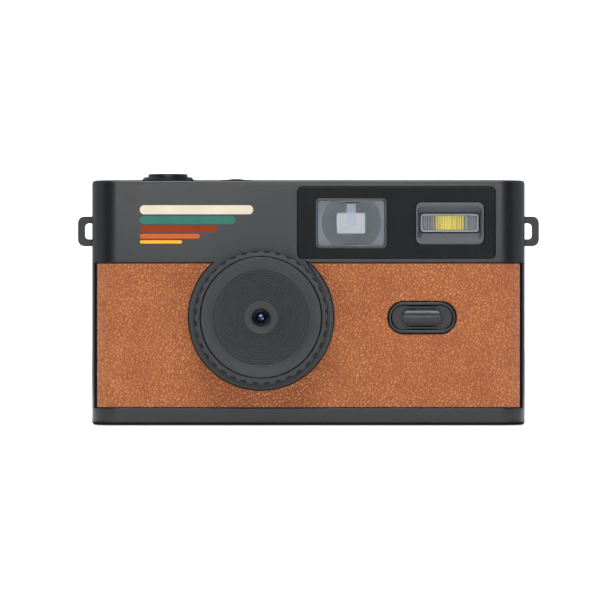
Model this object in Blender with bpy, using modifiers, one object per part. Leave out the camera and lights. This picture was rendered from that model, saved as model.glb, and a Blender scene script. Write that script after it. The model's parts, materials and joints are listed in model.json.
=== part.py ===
"""A reusable 35 mm half frame camera with a built-in flash, as separate pieces.

Lengths in the constants are millimetres. X runs to the right as the lens is faced, Y runs from
the lens to the back door, Z runs up, and the origin is the middle of the underside.
"""

import math

import bmesh
import bpy
from mathutils import Matrix, Vector

MM = 0.001
GAP = 0.3

# Case.
HALF_WIDTH = 55.0
FRONT = -13.5
BACK = 18.5
HEIGHT = 62.1
WALL = 1.8
CORNER = 6.5
RIM = 0.9
PARTING_Y = 6.0
TRAY_Z = 3.0
DOOR_TOP = 47.6
DOOR_LEFT = -49.1

# Leather on the front.
LEATHER_BOTTOM = 4.6
LEATHER_TOP = 40.9
LEATHER_WRAP = 51.7
RECESS_WRAP = 65.0
RECESS_DEPTH = 0.9

# Lens.
LENS_X = -12.0
LENS_Z = 27.3
BOSS_RADIUS = 18.35
RING_RADIUS = 17.2
RING_INNER = 15.4
RING_NOTCHES = 36
FACE_RADIUS = 15.1
NOSE = 19.5

# Window panel, viewfinder and flash, each as (x low, x high, z low, z high).
PANEL = (-2.7, 47.2, 42.2, 60.3)
PANEL_FLOOR = -12.3
FINDER = (2.3, 19.3, 45.4, 56.9)
FINDER_X = 10.9
FINDER_Z = 51.2
FLASH = (27.2, 44.4, 45.8, 56.5)
FLASH_BAR = (28.4, 43.15, 48.9, 53.6)

# Flash switch.
SWITCH = (20.2, 37.3, 23.3, 31.2)
SWITCH_X = 28.75
SWITCH_Z = 27.25

# Top plate.
BUTTON_X = -35.8
BUTTON_Y = -2.5
COUNTER_X = -18.5
COUNTER_Y = -2.5
DIAL_Y = 3.2

# Strap lugs.
LUG_REACH = 58.75
LUG_BOTTOM = 45.4
LUG_TOP = 53.0
LUG_BAR = 1.8
LUG_Y = -2.0

# Film path: cassette on the right, spool on the left, gate between.
CASSETTE_X = 39.0
CASSETTE_Y = 4.0
CASSETTE_RADIUS = 12.9
SPOOL_X = -36.0
SPOOL_Y = 6.5
SPOOL_CHAMBER = 10.6
SPROCKET_X = -20.0
SPROCKET_Y = 8.2
CHASSIS_WALL = 0.9
CHASSIS_BOTTOM = 4.8
CHASSIS_TOP = 48.4
FILM_Y = 13.5
GATE_WIDTH = 18.0
GATE_HEIGHT = 24.0

# Advance wheel.
WHEEL_RADIUS = 13.0
WHEEL_BOTTOM = 49.4
WHEEL_TOP = 53.0

# Battery.
BATTERY_X = -47.6
BATTERY_Y = -6.0

# Back door hinge.
HINGE_X = -49.6
HINGE_Y = 17.9
KNUCKLE = 1.15
PIN_RADIUS = 0.5

# Rewind crank in the base.
CRANK_CUP = 9.0
CRANK_ARM = 6.2

BLACK = (0.075, 0.08, 0.085)
SATIN = (0.03, 0.03, 0.032)
LEATHER = (0.42, 0.16, 0.07)
STEEL = (0.55, 0.55, 0.56)
BRASS = (0.65, 0.47, 0.2)
CLEAR = (0.75, 0.82, 0.86)
COPPER_GREEN = (0.05, 0.25, 0.12)
WHITE = (0.8, 0.8, 0.78)


# ---------------------------------------------------------------- helpers


def clear_scene():
    for obj in list(bpy.data.objects):
        bpy.data.objects.remove(obj, do_unlink=True)


def make_collection(name):
    collection = bpy.data.collections.new(name)
    bpy.context.scene.collection.children.link(collection)
    return collection


def material(colour, roughness, metallic=0.0):
    name = "finish_%02x%02x%02x_%02d_%d" % (
        *(int(255 * c) for c in colour),
        int(100 * roughness),
        int(metallic),
    )
    found = bpy.data.materials.get(name)
    if found:
        return found
    made = bpy.data.materials.new(name)
    made.use_nodes = True
    shader = made.node_tree.nodes["Principled BSDF"]
    shader.inputs["Base Color"].default_value = (*colour, 1.0)
    shader.inputs["Roughness"].default_value = roughness
    shader.inputs["Metallic"].default_value = metallic
    return made


def place(name, data, finish, smooth=True):
    """An object in the parts' collection, or in the cutters' when it has no finish."""
    obj = bpy.data.objects.new(name, data)
    if finish is None:
        CUTTERS.objects.link(obj)
        obj.hide_render = True
        obj.display_type = "WIRE"
        return obj
    PARTS.objects.link(obj)
    data.materials.append(material(*finish))
    if smooth and isinstance(data, bpy.types.Mesh):
        data.shade_smooth()
        data.set_sharp_from_angle(angle=math.radians(35))
    return obj


def from_bmesh(name, bm, finish):
    data = bpy.data.meshes.new(name)
    bmesh.ops.recalc_face_normals(bm, faces=bm.faces)
    bm.to_mesh(data)
    bm.free()
    return place(name, data, finish)


def block(name, low, high, finish=None, radius=0.0, axis="Z", segments=5, rim=0.0):
    """A box between two corners. Its edges along the axis are rounded, then its end faces' rims."""
    bm = bmesh.new()
    bmesh.ops.create_cube(bm, size=1.0)
    size = [(b - a) * MM for a, b in zip(low, high)]
    middle = [(a + b) / 2 * MM for a, b in zip(low, high)]
    bmesh.ops.scale(bm, vec=size, verts=bm.verts)
    bmesh.ops.translate(bm, vec=middle, verts=bm.verts)
    way = "XYZ".index(axis)
    if radius:
        along = [e for e in bm.edges if abs(e.verts[0].co[way] - e.verts[1].co[way]) > 1e-6]
        bevel(bm, along, radius, segments)
    if rim:
        flat = [e for e in bm.edges if abs(e.verts[0].co[way] - e.verts[1].co[way]) < 1e-6]
        bevel(bm, flat, rim, 2)
    return from_bmesh(name, bm, finish)


def bevel(bm, edges, width, segments):
    bmesh.ops.bevel(
        bm,
        geom=edges,
        offset=width * MM,
        offset_type="OFFSET",
        segments=segments,
        profile=0.5,
        affect="EDGES",
    )


def panel(name, box, y_low, y_high, finish=None, radius=1.0, grow=0.0, segments=4):
    """A plate facing the front, from (x low, x high, z low, z high), rounded along Y."""
    x_low, x_high, z_low, z_high = box
    low = (x_low - grow, y_low, z_low - grow)
    high = (x_high + grow, y_high, z_high + grow)
    return block(name, low, high, finish, radius, "Y", segments)


def cylinder(name, radius, low, high, centre, finish=None, axis="Z", sides=24, top=None):
    """A cylinder, or a cone with the radius top at its high end, along an axis."""
    bm = bmesh.new()
    length = (high - low) * MM
    bmesh.ops.create_cone(
        bm,
        cap_ends=True,
        segments=sides,
        radius1=radius * MM,
        radius2=(radius if top is None else top) * MM,
        depth=length,
    )
    middle = (low + high) / 2
    turn = {"Z": Matrix(), "Y": Matrix.Rotation(-math.pi / 2, 4, "X")}
    turn["X"] = Matrix.Rotation(math.pi / 2, 4, "Y")
    bmesh.ops.transform(bm, matrix=turn[axis], verts=bm.verts)
    spots = {
        "Z": (centre[0], centre[1], middle),
        "Y": (centre[0], middle, centre[1]),
        "X": (middle, centre[0], centre[1]),
    }
    bmesh.ops.translate(bm, vec=Vector(spots[axis]) * MM, verts=bm.verts)
    return from_bmesh(name, bm, finish)


def turned(name, outline, centre, finish=None, steps=32, forward=False):
    """A turned piece from (radius, height) points that run down the outer side.

    Heights run along +Z, or along -Y with forward. An outline whose last point is its first
    is a ring, and any other starts and ends on the axis.
    """
    ring = outline[0] == outline[-1]
    points = outline[:-1] if ring else outline
    edges = [(i, i + 1) for i in range(len(points) - 1)]
    if ring:
        edges.append((len(points) - 1, 0))
    data = bpy.data.meshes.new(name)
    data.from_pydata([(r * MM, 0.0, h * MM) for r, h in points], edges, [])
    obj = place(name, data, finish, smooth=False)
    spin = obj.modifiers.new("spin", "SCREW")
    spin.steps = steps
    spin.render_steps = steps
    spin.use_merge_vertices = True
    spin.merge_threshold = 0.00001
    spin.use_normal_calculate = False
    spin.use_smooth_shade = True
    obj.location = Vector(centre) * MM
    if forward:
        obj.rotation_euler = (math.pi / 2, 0.0, 0.0)
    return obj


def tube(name, points, radius, finish, sides=2):
    """A round wire through points, with closed ends."""
    data = bpy.data.curves.new(name, "CURVE")
    data.dimensions = "3D"
    data.bevel_depth = radius * MM
    data.bevel_resolution = sides
    data.use_fill_caps = True
    line = data.splines.new("POLY")
    line.points.add(len(points) - 1)
    for spot, point in zip(line.points, points):
        spot.co = (*(c * MM for c in point), 1.0)
    return place(name, data, finish)


def coil(name, centre, radius, length, turns, wire, finish, axis="Z"):
    """A helical spring that starts at its centre and runs up an axis."""
    a_turn = 8
    points = []
    for i in range(turns * a_turn + 1):
        angle = 2 * math.pi * i / a_turn
        along = length * i / (turns * a_turn)
        x, y, z = radius * math.cos(angle), radius * math.sin(angle), along
        if axis == "X":
            x, y, z = z, x, y
        if axis == "Y":
            x, y, z = y, z, x
        points.append((centre[0] + x, centre[1] + y, centre[2] + z))
    return tube(name, points, wire, finish, sides=1)


def outline_prism(name, points, low, high, finish=None):
    """A closed plan outline in X and Y, raised from low to high."""
    bm = bmesh.new()
    base = [bm.verts.new((x * MM, y * MM, low * MM)) for x, y in points]
    face = bm.faces.new(base)
    raised = bmesh.ops.extrude_face_region(bm, geom=[face])
    lifted = [v for v in raised["geom"] if isinstance(v, bmesh.types.BMVert)]
    bmesh.ops.translate(bm, vec=(0.0, 0.0, (high - low) * MM), verts=lifted)
    return from_bmesh(name, bm, finish)


def sheet(name, path, low, high, thickness, finish=None):
    """A wall that follows a plan path, from low to high, thickened to both sides of it."""
    bm = bmesh.new()
    rows = []
    for z in (low, high):
        rows.append([bm.verts.new((x * MM, y * MM, z * MM)) for x, y in path])
    for i in range(len(path) - 1):
        bm.faces.new((rows[0][i], rows[0][i + 1], rows[1][i + 1], rows[1][i]))
    data = bpy.data.meshes.new(name)
    bm.to_mesh(data)
    bm.free()
    obj = place(name, data, finish)
    thick = obj.modifiers.new("thickness", "SOLIDIFY")
    thick.thickness = thickness * MM
    thick.offset = 0.0
    thick.use_even_offset = True
    return obj


def arc(centre_x, centre_y, radius, start, end, steps):
    """Points on a plan arc between two angles in degrees."""
    points = []
    for i in range(steps + 1):
        angle = math.radians(start + (end - start) * i / steps)
        points.append((centre_x + radius * math.cos(angle), centre_y + radius * math.sin(angle)))
    return points


def cut(obj, *tools):
    for tool in tools:
        edit = obj.modifiers.new("cut " + tool.name, "BOOLEAN")
        edit.operation = "DIFFERENCE"
        edit.solver = "EXACT"
        edit.object = tool


def fuse(obj, *tools):
    for tool in tools:
        edit = obj.modifiers.new("fuse " + tool.name, "BOOLEAN")
        edit.operation = "UNION"
        edit.solver = "EXACT"
        edit.object = tool


def set_pivot(obj, point):
    """Moves an object's origin onto its joint's axis and leaves its shape where it is."""
    spot = Vector(point) * MM
    obj.data.transform(Matrix.Translation(obj.location - spot))
    obj.location = spot


# ---------------------------------------------------------------- case

BODY_PLASTIC = (BLACK, 0.5)
INNER_PLASTIC = (SATIN, 0.6)


def front_path(offset, wrap):
    """A plan path round the case's front at an offset inside its skin, to wrap degrees round."""
    radius = CORNER - offset
    centre_x = HALF_WIDTH - CORNER
    centre_y = FRONT + CORNER
    left = arc(-centre_x, centre_y, radius, -90 - wrap, -90, 6)
    right = arc(centre_x, centre_y, radius, -90, -90 + wrap, 6)
    return left + right


def case_shell(name):
    """The whole case as one rounded shell, which each cover is cut from."""
    low = (-HALF_WIDTH, FRONT, 0.0)
    high = (HALF_WIDTH, BACK, HEIGHT)
    shell = block(name, low, high, BODY_PLASTIC, CORNER, "Z", 6, RIM)
    cut(shell, TOOLS["cavity"])
    return shell


def shared_tools():
    inner = CORNER - WALL
    TOOLS["cavity"] = block(
        "case_cavity",
        (-HALF_WIDTH + WALL, FRONT + WALL, WALL),
        (HALF_WIDTH - WALL, BACK - WALL, HEIGHT - WALL),
        None,
        inner,
        "Z",
        6,
    )
    TOOLS["hinge_room"] = cylinder(
        "hinge_room", KNUCKLE + 0.4, 9.6, 42.4, (HINGE_X, HINGE_Y), sides=20
    )
    TOOLS["wheel_slot"] = cylinder(
        "wheel_slot", WHEEL_RADIUS + 0.4, WHEEL_BOTTOM - GAP, WHEEL_TOP + GAP, (SPOOL_X, SPOOL_Y), sides=48
    )


def front_cover():
    cover = case_shell("front_cover")
    far = 80.0
    cut(cover, block("front_split", (-far, PARTING_Y, TRAY_Z), (far, far, far)))

    recess = sheet(
        "leather_recess",
        front_path(RECESS_DEPTH / 2 - 1.0, RECESS_WRAP),
        LEATHER_BOTTOM - GAP,
        LEATHER_TOP + GAP,
        RECESS_DEPTH + 2.0,
    )
    boss = cylinder("lens_boss", BOSS_RADIUS, -30.0, 0.0, (LENS_X, LENS_Z), axis="Y", sides=48)
    cut(recess, boss)
    window = panel("panel_recess", PANEL, -20.0, PANEL_FLOOR, radius=1.4, grow=0.25)
    finder = panel("finder_hole", FINDER, -20.0, -9.0, radius=1.0, grow=0.3)
    flash = panel("flash_hole", FLASH, -20.0, -9.0, radius=1.6, grow=0.4)
    switch = panel("switch_hole", SWITCH, -20.0, -9.0, radius=4.2, grow=GAP, segments=8)
    barrel = cylinder("barrel_hole", RING_INNER, -20.0, -9.0, (LENS_X, LENS_Z), axis="Y", sides=48)
    cut(cover, recess, window, finder, flash, switch, barrel)

    collar = cylinder("collar_hole", 6.6, 58.0, 70.0, (BUTTON_X, BUTTON_Y), sides=32)
    counter = cylinder("counter_hole", 3.7, 58.0, 70.0, (COUNTER_X, COUNTER_Y), sides=24)
    cut(cover, collar, counter)
    dial_post = cylinder("dial_post", 1.1, 56.4, 60.9, (COUNTER_X, DIAL_Y), sides=16)
    fuse(cover, dial_post)

    cup = cylinder("crank_cup", CRANK_CUP + 1.2, 0.9, 4.4, (CASSETTE_X, CASSETTE_Y), sides=48)
    cup_room = cylinder("crank_room", CRANK_CUP, -2.0, 3.2, (CASSETTE_X, CASSETTE_Y), sides=48)
    cup_bore = cylinder("crank_bore", 2.3, 2.0, 8.0, (CASSETTE_X, CASSETTE_Y), sides=20)
    fuse(cover, cup)
    cut(cover, cup_room, cup_bore)

    for i, (x, y) in enumerate(SCREWS):
        fuse(cover, cylinder("screw_boss_%d" % i, 3.0, 1.0, 4.2, (x, y), sides=20))
        cut(
            cover,
            cylinder("screw_head_room_%d" % i, 2.0, -1.0, 1.6, (x, y), sides=20),
            cylinder("screw_shank_room_%d" % i, 1.15, 1.0, 6.0, (x, y), sides=12),
        )
    low, high = battery_door_corners(GAP)
    cut(cover, block("battery_hole", (*low, -2.0), (*high, 2.6), None, 4.6, "Z", 5))
    low = (BATTERY_X - 0.8, low[1])
    cut(cover, block("battery_hinge_hole", (*low, -2.0), (*high, 2.6), None, 0.6, "Z", 3))
    cut(cover, cylinder("rewind_button_hole", 2.5, -2.0, 3.0, RELEASE_SPOT, sides=20))
    cut(cover, lug_slot("left", -1), lug_slot("right", 1))


def lug_slot(side, sign):
    """Two pockets through a side wall for the arms of a strap lug."""
    ends = sorted((sign * 50.5, sign * 60.0))
    slot = block(
        "lug_slot_" + side,
        (ends[0], LUG_Y - 1.2 - GAP, LUG_BOTTOM - GAP),
        (ends[1], LUG_Y + 1.2 + GAP, LUG_BOTTOM + LUG_BAR + GAP),
    )
    upper = block(
        "lug_slot_upper_" + side,
        (ends[0], LUG_Y - 1.2 - GAP, LUG_TOP - LUG_BAR - GAP),
        (ends[1], LUG_Y + 1.2 + GAP, LUG_TOP + GAP),
    )
    fuse(slot, upper)
    return slot


def rear_cover():
    cover = case_shell("rear_cover")
    far = 80.0
    gap_y = PARTING_Y + GAP
    keep_left = DOOR_LEFT - GAP
    cut(
        cover,
        block("rear_split", (-far, -far, -far), (far, gap_y, far)),
        block("rear_tray_split", (-far, 0.0, -far), (far, far, TRAY_Z + GAP)),
        block("rear_door_split", (keep_left, 0.0, -1.0), (far, far, DOOR_TOP + GAP)),
        TOOLS["hinge_room"],
        TOOLS["wheel_slot"],
        panel("eyepiece_hole", EYEPIECE, 10.0, 25.0, radius=1.5, grow=0.3),
    )
    for i, (low, high) in enumerate(((10.0, 15.0), (37.0, 42.0))):
        knuckle = cylinder("rear_knuckle_%d" % i, KNUCKLE, low, high, (HINGE_X, HINGE_Y), sides=20)
        web = block("rear_web_%d" % i, (HINGE_X - 3.4, 16.9, low), (HINGE_X, 17.95, high))
        fuse(cover, knuckle, web)
    cut(cover, cylinder("rear_pin_bore", 0.8, 5.0, 45.0, (HINGE_X, HINGE_Y), sides=16))


def back_door():
    door = case_shell("back_door")
    far = 80.0
    cut(
        door,
        block("door_front_split", (-far, -far, -far), (far, PARTING_Y + GAP, far)),
        block("door_low_split", (-far, 0.0, -far), (far, far, TRAY_Z + GAP)),
        block("door_high_split", (-far, 0.0, DOOR_TOP), (far, far, far)),
        block("door_left_split", (-far, 0.0, -1.0), (DOOR_LEFT, far, far)),
        TOOLS["hinge_room"],
        panel("rear_leather_recess", REAR_LEATHER, BACK - RECESS_DEPTH, 30.0, radius=2.5, grow=0.25),
        block("latch_slot", (51.0, 9.2, 20.0), (60.0, 13.8, 31.0)),
    )
    for i, (low, high) in enumerate(((15.4, 20.4), (31.6, 36.6))):
        knuckle = cylinder("door_knuckle_%d" % i, KNUCKLE, low, high, (HINGE_X, HINGE_Y), sides=20)
        web = block("door_web_%d" % i, (HINGE_X, 16.9, low), (HINGE_X + 3.4, 17.95, high))
        fuse(door, knuckle, web)
    cut(door, cylinder("door_pin_bore", 0.8, 5.0, 45.0, (HINGE_X, HINGE_Y), sides=16))
    set_pivot(door, (HINGE_X, HINGE_Y, 0.0))


def door_hinge_pin():
    cylinder("door_hinge_pin", PIN_RADIUS, 9.7, 42.3, (HINGE_X, HINGE_Y), (STEEL, 0.3, 1.0), sides=16)


def leather_front():
    skin = sheet(
        "leather_front",
        front_path(0.3, LEATHER_WRAP),
        LEATHER_BOTTOM,
        LEATHER_TOP,
        0.6,
        (LEATHER, 0.6),
    )
    spot = (LENS_X, LENS_Z)
    boss = cylinder("leather_boss_hole", BOSS_RADIUS + 0.25, -30.0, 0.0, spot, axis="Y", sides=48)
    switch = panel("leather_switch_hole", SWITCH, -20.0, -5.0, radius=4.2, grow=GAP, segments=8)
    cut(skin, boss, switch)


def leather_rear():
    panel("leather_rear", REAR_LEATHER, BACK - 0.6, BACK + 0.05, (LEATHER, 0.6), radius=2.2)
    set_pivot(bpy.data.objects["leather_rear"], (HINGE_X, HINGE_Y, 0.0))


def window_panel():
    plate = panel("window_panel", PANEL, FRONT - 0.05, -12.6, ((0.03, 0.03, 0.033), 0.12), radius=1.3)
    cut(
        plate,
        panel("panel_finder_hole", FINDER, -20.0, -9.0, radius=0.8),
        panel("panel_flash_hole", FLASH, -20.0, -9.0, radius=1.5, grow=0.25),
    )


def strap_lug(side, sign):
    name = "strap_lug_" + side
    inside, reach = sign * 52.4, sign * LUG_REACH
    x_low, x_high = min(inside, reach), max(inside, reach)
    lug = block(
        name,
        (x_low, LUG_Y - 1.2, LUG_BOTTOM),
        (x_high, LUG_Y + 1.2, LUG_TOP),
        (SATIN, 0.4),
        1.6,
        "Y",
        4,
    )
    hole_low, hole_high = sorted((sign * 40.0, sign * (LUG_REACH - LUG_BAR)))
    hole = block(
        "lug_hole_" + side,
        (hole_low, -10.0, LUG_BOTTOM + LUG_BAR),
        (hole_high, 10.0, LUG_TOP - LUG_BAR),
        None,
        0.9,
        "Y",
        3,
    )
    cut(lug, hole)


def case_screws():
    for i, (x, y) in enumerate(SCREWS, start=1):
        name = "case_screw_%d" % i
        outline = [(0.0, 4.5), (0.8, 4.2), (0.8, 1.4), (1.7, 1.2), (1.7, 0.3), (0.0, 0.3)]
        screw = turned(name, outline, (x, y, 0.0), (STEEL, 0.3, 1.0), steps=10)
        arm = block("drive_slot_%d" % i, (x - 1.2, y - 0.2, -1.0), (x + 1.2, y + 0.2, 0.8))
        cross = block("drive_cross_%d" % i, (x - 0.2, y - 1.2, -1.0), (x + 0.2, y + 1.2, 0.8))
        cut(screw, arm, cross)


# ---------------------------------------------------------------- film chassis


def chassis():
    half = CHASSIS_WALL / 2
    wall_y = FILM_Y - half
    cassette = CASSETTE_RADIUS + half
    spool = SPOOL_CHAMBER + half
    path = arc(CASSETTE_X, CASSETTE_Y, cassette, 12, -180, 22)
    path += [(CASSETTE_X - cassette, wall_y), (SPOOL_X + spool, wall_y)]
    path += arc(SPOOL_X, SPOOL_Y, spool, 0, -180, 16)
    path += [(SPOOL_X - spool, wall_y)]
    frame = sheet("chassis", path, CHASSIS_BOTTOM, CHASSIS_TOP, CHASSIS_WALL, INNER_PLASTIC)
    gate = (
        LENS_X - GATE_WIDTH / 2,
        LENS_X + GATE_WIDTH / 2,
        LENS_Z - GATE_HEIGHT / 2,
        LENS_Z + GATE_HEIGHT / 2,
    )
    cut(
        frame,
        panel("gate_hole", gate, 9.0, 20.0, radius=0.4),
        block("sprocket_room", (-26.6, 1.0, 40.6), (-13.4, 18.0, 44.6)),
        block("latch_room", (50.0, 3.0, 18.0), (54.0, 9.0, 34.0)),
        block("flash_room", (26.0, -12.0, 45.3), (45.5, -8.6, 50.0)),
        block("finder_clearance", (5.3, 11.0, 46.9), (16.5, 15.0, 50.0)),
    )


def light_tunnel():
    """A square horn from the rear lens to the film gate."""
    front, back = -8.0, FILM_Y - CHASSIS_WALL - GAP
    shell = horn("light_tunnel", front, back, (5.6, 5.6), (10.2, 13.2), INNER_PLASTIC)
    room = horn("tunnel_room", -5.6, back + 1.0, (4.4, 4.6), (9.1, 12.1), None)
    bore = cylinder("rear_lens_bore", 4.0, -12.0, -4.0, (LENS_X, LENS_Z), axis="Y", sides=24)
    cut(shell, room, bore)


def horn(name, front, back, half_front, half_back, finish, centre=(LENS_X, LENS_Z)):
    """A four-sided frustum along Y, from half sizes in X and Z at its ends."""
    bm = bmesh.new()
    bmesh.ops.create_cube(bm, size=2.0)
    for vert in bm.verts:
        far = vert.co.y > 0
        half = half_back if far else half_front
        x = centre[0] + vert.co.x * half[0]
        z = centre[1] + vert.co.z * half[1]
        vert.co = Vector((x, back if far else front, z)) * MM
    return from_bmesh(name, bm, finish)


def take_up_spool():
    outline = [(0.0, 49.1), (2.0, 49.1), (2.0, 47.4), (8.6, 47.4), (8.6, 46.4), (5.5, 46.4), (5.5, 8.2)]
    outline += [(8.6, 8.2), (8.6, 7.2), (1.5, 7.2), (1.5, 2.3), (0.0, 2.3)]
    spool = turned("take_up_spool", outline, (SPOOL_X, SPOOL_Y, 0.0), INNER_PLASTIC, steps=20)
    slot = block("film_slot", (SPOOL_X - 1.0, SPOOL_Y + 2.5, 12.0), (SPOOL_X + 1.0, SPOOL_Y + 9.0, 42.0))
    cut(spool, slot)


def advance_wheel():
    """A serrated wheel whose rim stands out of the back for the thumb."""
    teeth = 48
    points = []
    for i in range(2 * teeth):
        angle = math.pi * i / teeth
        radius = WHEEL_RADIUS - 0.45 if i % 2 else WHEEL_RADIUS
        points.append((SPOOL_X + radius * math.cos(angle), SPOOL_Y + radius * math.sin(angle)))
    wheel = outline_prism("advance_wheel", points, WHEEL_BOTTOM, WHEEL_TOP, BODY_PLASTIC)
    groove = turned(
        "wheel_dish",
        [(10.5, 60.0), (10.5, 51.6), (3.5, 51.6), (3.5, 60.0), (10.5, 60.0)],
        (SPOOL_X, SPOOL_Y, 0.0),
        steps=32,
    )
    cut(wheel, groove)
    set_pivot(wheel, (SPOOL_X, SPOOL_Y, 0.0))


def sprocket():
    """An eight-toothed film sprocket on a shaft with a shutter cam and a counter finger."""
    centre = (SPROCKET_X, SPROCKET_Y)
    outline = [(0.0, 57.4), (1.2, 57.4), (1.2, 49.6), (3.2, 49.6), (3.2, 48.4), (1.2, 48.4), (1.2, 43.7)]
    outline += [(5.3, 43.7), (5.3, 41.1), (1.0, 41.1), (1.0, 40.7), (0.0, 40.7)]
    shaft = turned("sprocket", outline, (*centre, 0.0), (SATIN, 0.35), steps=32)
    for i in range(8):
        angle = 2 * math.pi * (i + 0.37) / 8
        inner = (centre[0] + 4.6 * math.cos(angle), centre[1] + 4.6 * math.sin(angle))
        tooth = cylinder("sprocket_tooth_%d" % i, 0.8, 0.0, 1.45, (0.0, 0.0), axis="X", sides=6, top=0.4)
        tooth.rotation_euler = (0.0, 0.0, angle)
        tooth.location = Vector((*inner, 42.4)) * MM
        fuse(shaft, tooth)
    finger = block("counter_finger", (0.6, -0.4, 56.4), (1.7, 0.4, 57.2))
    finger.location = Vector((*centre, 0.0)) * MM
    flat_low = (centre[0] + 1.9, centre[1] - 4.0, 48.0)
    flat_high = (centre[0] + 4.0, centre[1] + 4.0, 50.0)
    cam_flat = block("cam_flat", flat_low, flat_high)
    fuse(shaft, finger)
    cut(shaft, cam_flat)


def counter_dial():
    outline = [(7.4, 58.6), (7.4, 57.8), (3.2, 57.8), (3.2, 56.0), (1.4, 56.0), (1.4, 58.6), (7.4, 58.6)]
    turned("counter_dial", outline, (COUNTER_X, DIAL_Y, 0.0), (WHITE, 0.5), steps=28)


def pressure_plate():
    low, high = (-28.0, FILM_Y + 0.6, 8.3), (4.0, FILM_Y + 1.4, 46.3)
    plate = block("pressure_plate", low, high, (SATIN, 0.3, 1.0), 2.0, "Y", 3)
    set_pivot(plate, (LENS_X, FILM_Y + 1.0, LENS_Z))
    relief_low = (SPROCKET_X - 2.4, 10.0, 41.0)
    relief_high = (SPROCKET_X + 2.4, 20.0, 43.8)
    relief = block("sprocket_relief", relief_low, relief_high, None, 0.8, "Y", 2)
    cut(plate, relief)
    path = [(-22.0, 15.3), (-18.0, 15.4), (-12.0, 16.15), (-6.0, 15.4), (-2.0, 15.3)]
    sheet("pressure_spring", path, 24.3, 30.3, 0.3, (STEEL, 0.3, 1.0))


def door_seals():
    foam = ((0.02, 0.02, 0.02), 0.95)
    block("door_seal_top", (-44.0, 15.4, 45.7), (46.0, 16.4, 47.1), foam)
    block("door_seal_bottom", (-44.0, 15.4, 3.9), (46.0, 16.4, 5.3), foam)


def door_latch():
    """A slider in the door's side wall, with a hook that reaches forward past the parting."""
    latch = block("door_latch", (53.4, 9.5, 20.3), (54.85, 13.5, 26.7), BODY_PLASTIC)
    # The inner plate is long enough to keep the slot shut against light over the whole slide.
    plate = block("latch_plate", (51.5, 8.9, 16.2), (52.7, 13.6, 31.4))
    neck = block("latch_neck", (52.6, 9.6, 20.4), (53.6, 12.9, 26.6))
    hook = block("latch_hook", (51.7, 4.8, 23.0), (52.7, 9.2, 25.0))
    fuse(latch, neck, plate, hook)
    for i in range(4):
        z = 21.4 + 1.3 * i
        cut(latch, block("latch_groove_%d" % i, (54.4, 9.0, z), (56.0, 14.0, z + 0.5)))
    set_pivot(latch, (53.0, 11.5, 23.5))


# ---------------------------------------------------------------- rewind


def rewind():
    centre = (CASSETTE_X, CASSETTE_Y, 0.0)
    steel = (STEEL, 0.35, 1.0)
    outline = [(0.0, 9.0), (1.6, 9.0), (1.6, 5.2), (1.9, 5.2), (1.9, 3.1), (0.0, 3.1)]
    shaft = turned("rewind_fork", outline, centre, (SATIN, 0.4), steps=20)
    fin_low = (CASSETTE_X - 2.4, CASSETTE_Y - 0.5, 6.6)
    fin_high = (CASSETTE_X + 2.4, CASSETTE_Y + 0.5, 9.6)
    fin = block("fork_fin", fin_low, fin_high)
    fuse(shaft, fin)

    disc = cylinder("rewind_disc", 8.2, 1.95, 2.8, centre[:2], (SATIN, 0.4), sides=40)
    knob_room = cylinder("knob_room", 2.5, 0.0, 5.0, (CASSETTE_X + CRANK_ARM, CASSETTE_Y), sides=20)
    cut(disc, knob_room)

    hinge_x = CASSETTE_X - CRANK_ARM
    low = (hinge_x - 0.55, CASSETTE_Y - 1.7, 0.45)
    high = (CASSETTE_X + CRANK_ARM + 1.9, CASSETTE_Y + 1.7, 1.55)
    arm = block("crank_arm", low, high, steel, 1.5, "Z", 4)
    set_pivot(arm, (hinge_x, CASSETTE_Y, 1.0))
    knob = turned(
        "crank_knob",
        [(0.0, 2.85), (1.6, 2.85), (1.9, 2.4), (1.9, 1.85), (0.0, 1.85)],
        (CASSETTE_X + CRANK_ARM, CASSETTE_Y, 0.0),
        (SATIN, 0.4),
        steps=20,
    )

    outline = [(0.0, 13.0), (1.0, 13.0), (1.0, 3.4), (2.1, 3.4), (2.1, 0.5), (0.0, 0.5)]
    turned("rewind_release_button", outline, (*RELEASE_SPOT, 0.0), steel, steps=16)


# ---------------------------------------------------------------- lens and shutter


def lens_ring():
    """The knurled ring round the lens: a tooth and a notch every ten degrees."""
    points = []
    for i in range(RING_NOTCHES):
        for j, radius in enumerate((RING_RADIUS, RING_RADIUS, 16.4, 16.4)):
            share = (0.0, 0.44, 0.5, 0.94)[j]
            angle = 2 * math.pi * (i + share) / RING_NOTCHES
            points.append((radius * math.cos(angle), radius * math.sin(angle)))
    ring = outline_prism("lens_ring", points, -FRONT + GAP, NOSE, (BLACK, 0.45))
    ring.rotation_euler = (math.pi / 2, 0.0, 0.0)
    ring.location = Vector((LENS_X, 0.0, LENS_Z)) * MM
    cut(ring, cylinder("ring_bore", RING_INNER, -30.0, 0.0, (LENS_X, LENS_Z), axis="Y", sides=48))


def lens_face():
    """The dished front disc with the light cone in its middle. Heights are distances forward."""
    rim, floor = 19.4, 18.1
    outline = [(FACE_RADIUS, rim), (FACE_RADIUS, 17.2), (4.2, 16.2), (3.4, 13.7), (1.6, 13.7)]
    outline += [(1.25, 14.2), (2.35, floor - 0.2), (4.4, floor), (11.85, rim), (FACE_RADIUS, rim)]
    turned("lens_face", outline, (LENS_X, 0.0, LENS_Z), (BLACK, 0.45), steps=48, forward=True)


def lens_barrel():
    outline = [(15.1, 16.9), (15.1, 11.4), (17.0, 11.4), (17.0, 10.3), (12.0, 10.3), (12.0, 12.2)]
    outline += [(3.0, 12.2), (3.0, 13.4), (13.6, 13.4), (13.6, 16.9), (15.1, 16.9)]
    turned("lens_barrel", outline, (LENS_X, 0.0, LENS_Z), INNER_PLASTIC, steps=32, forward=True)


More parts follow.
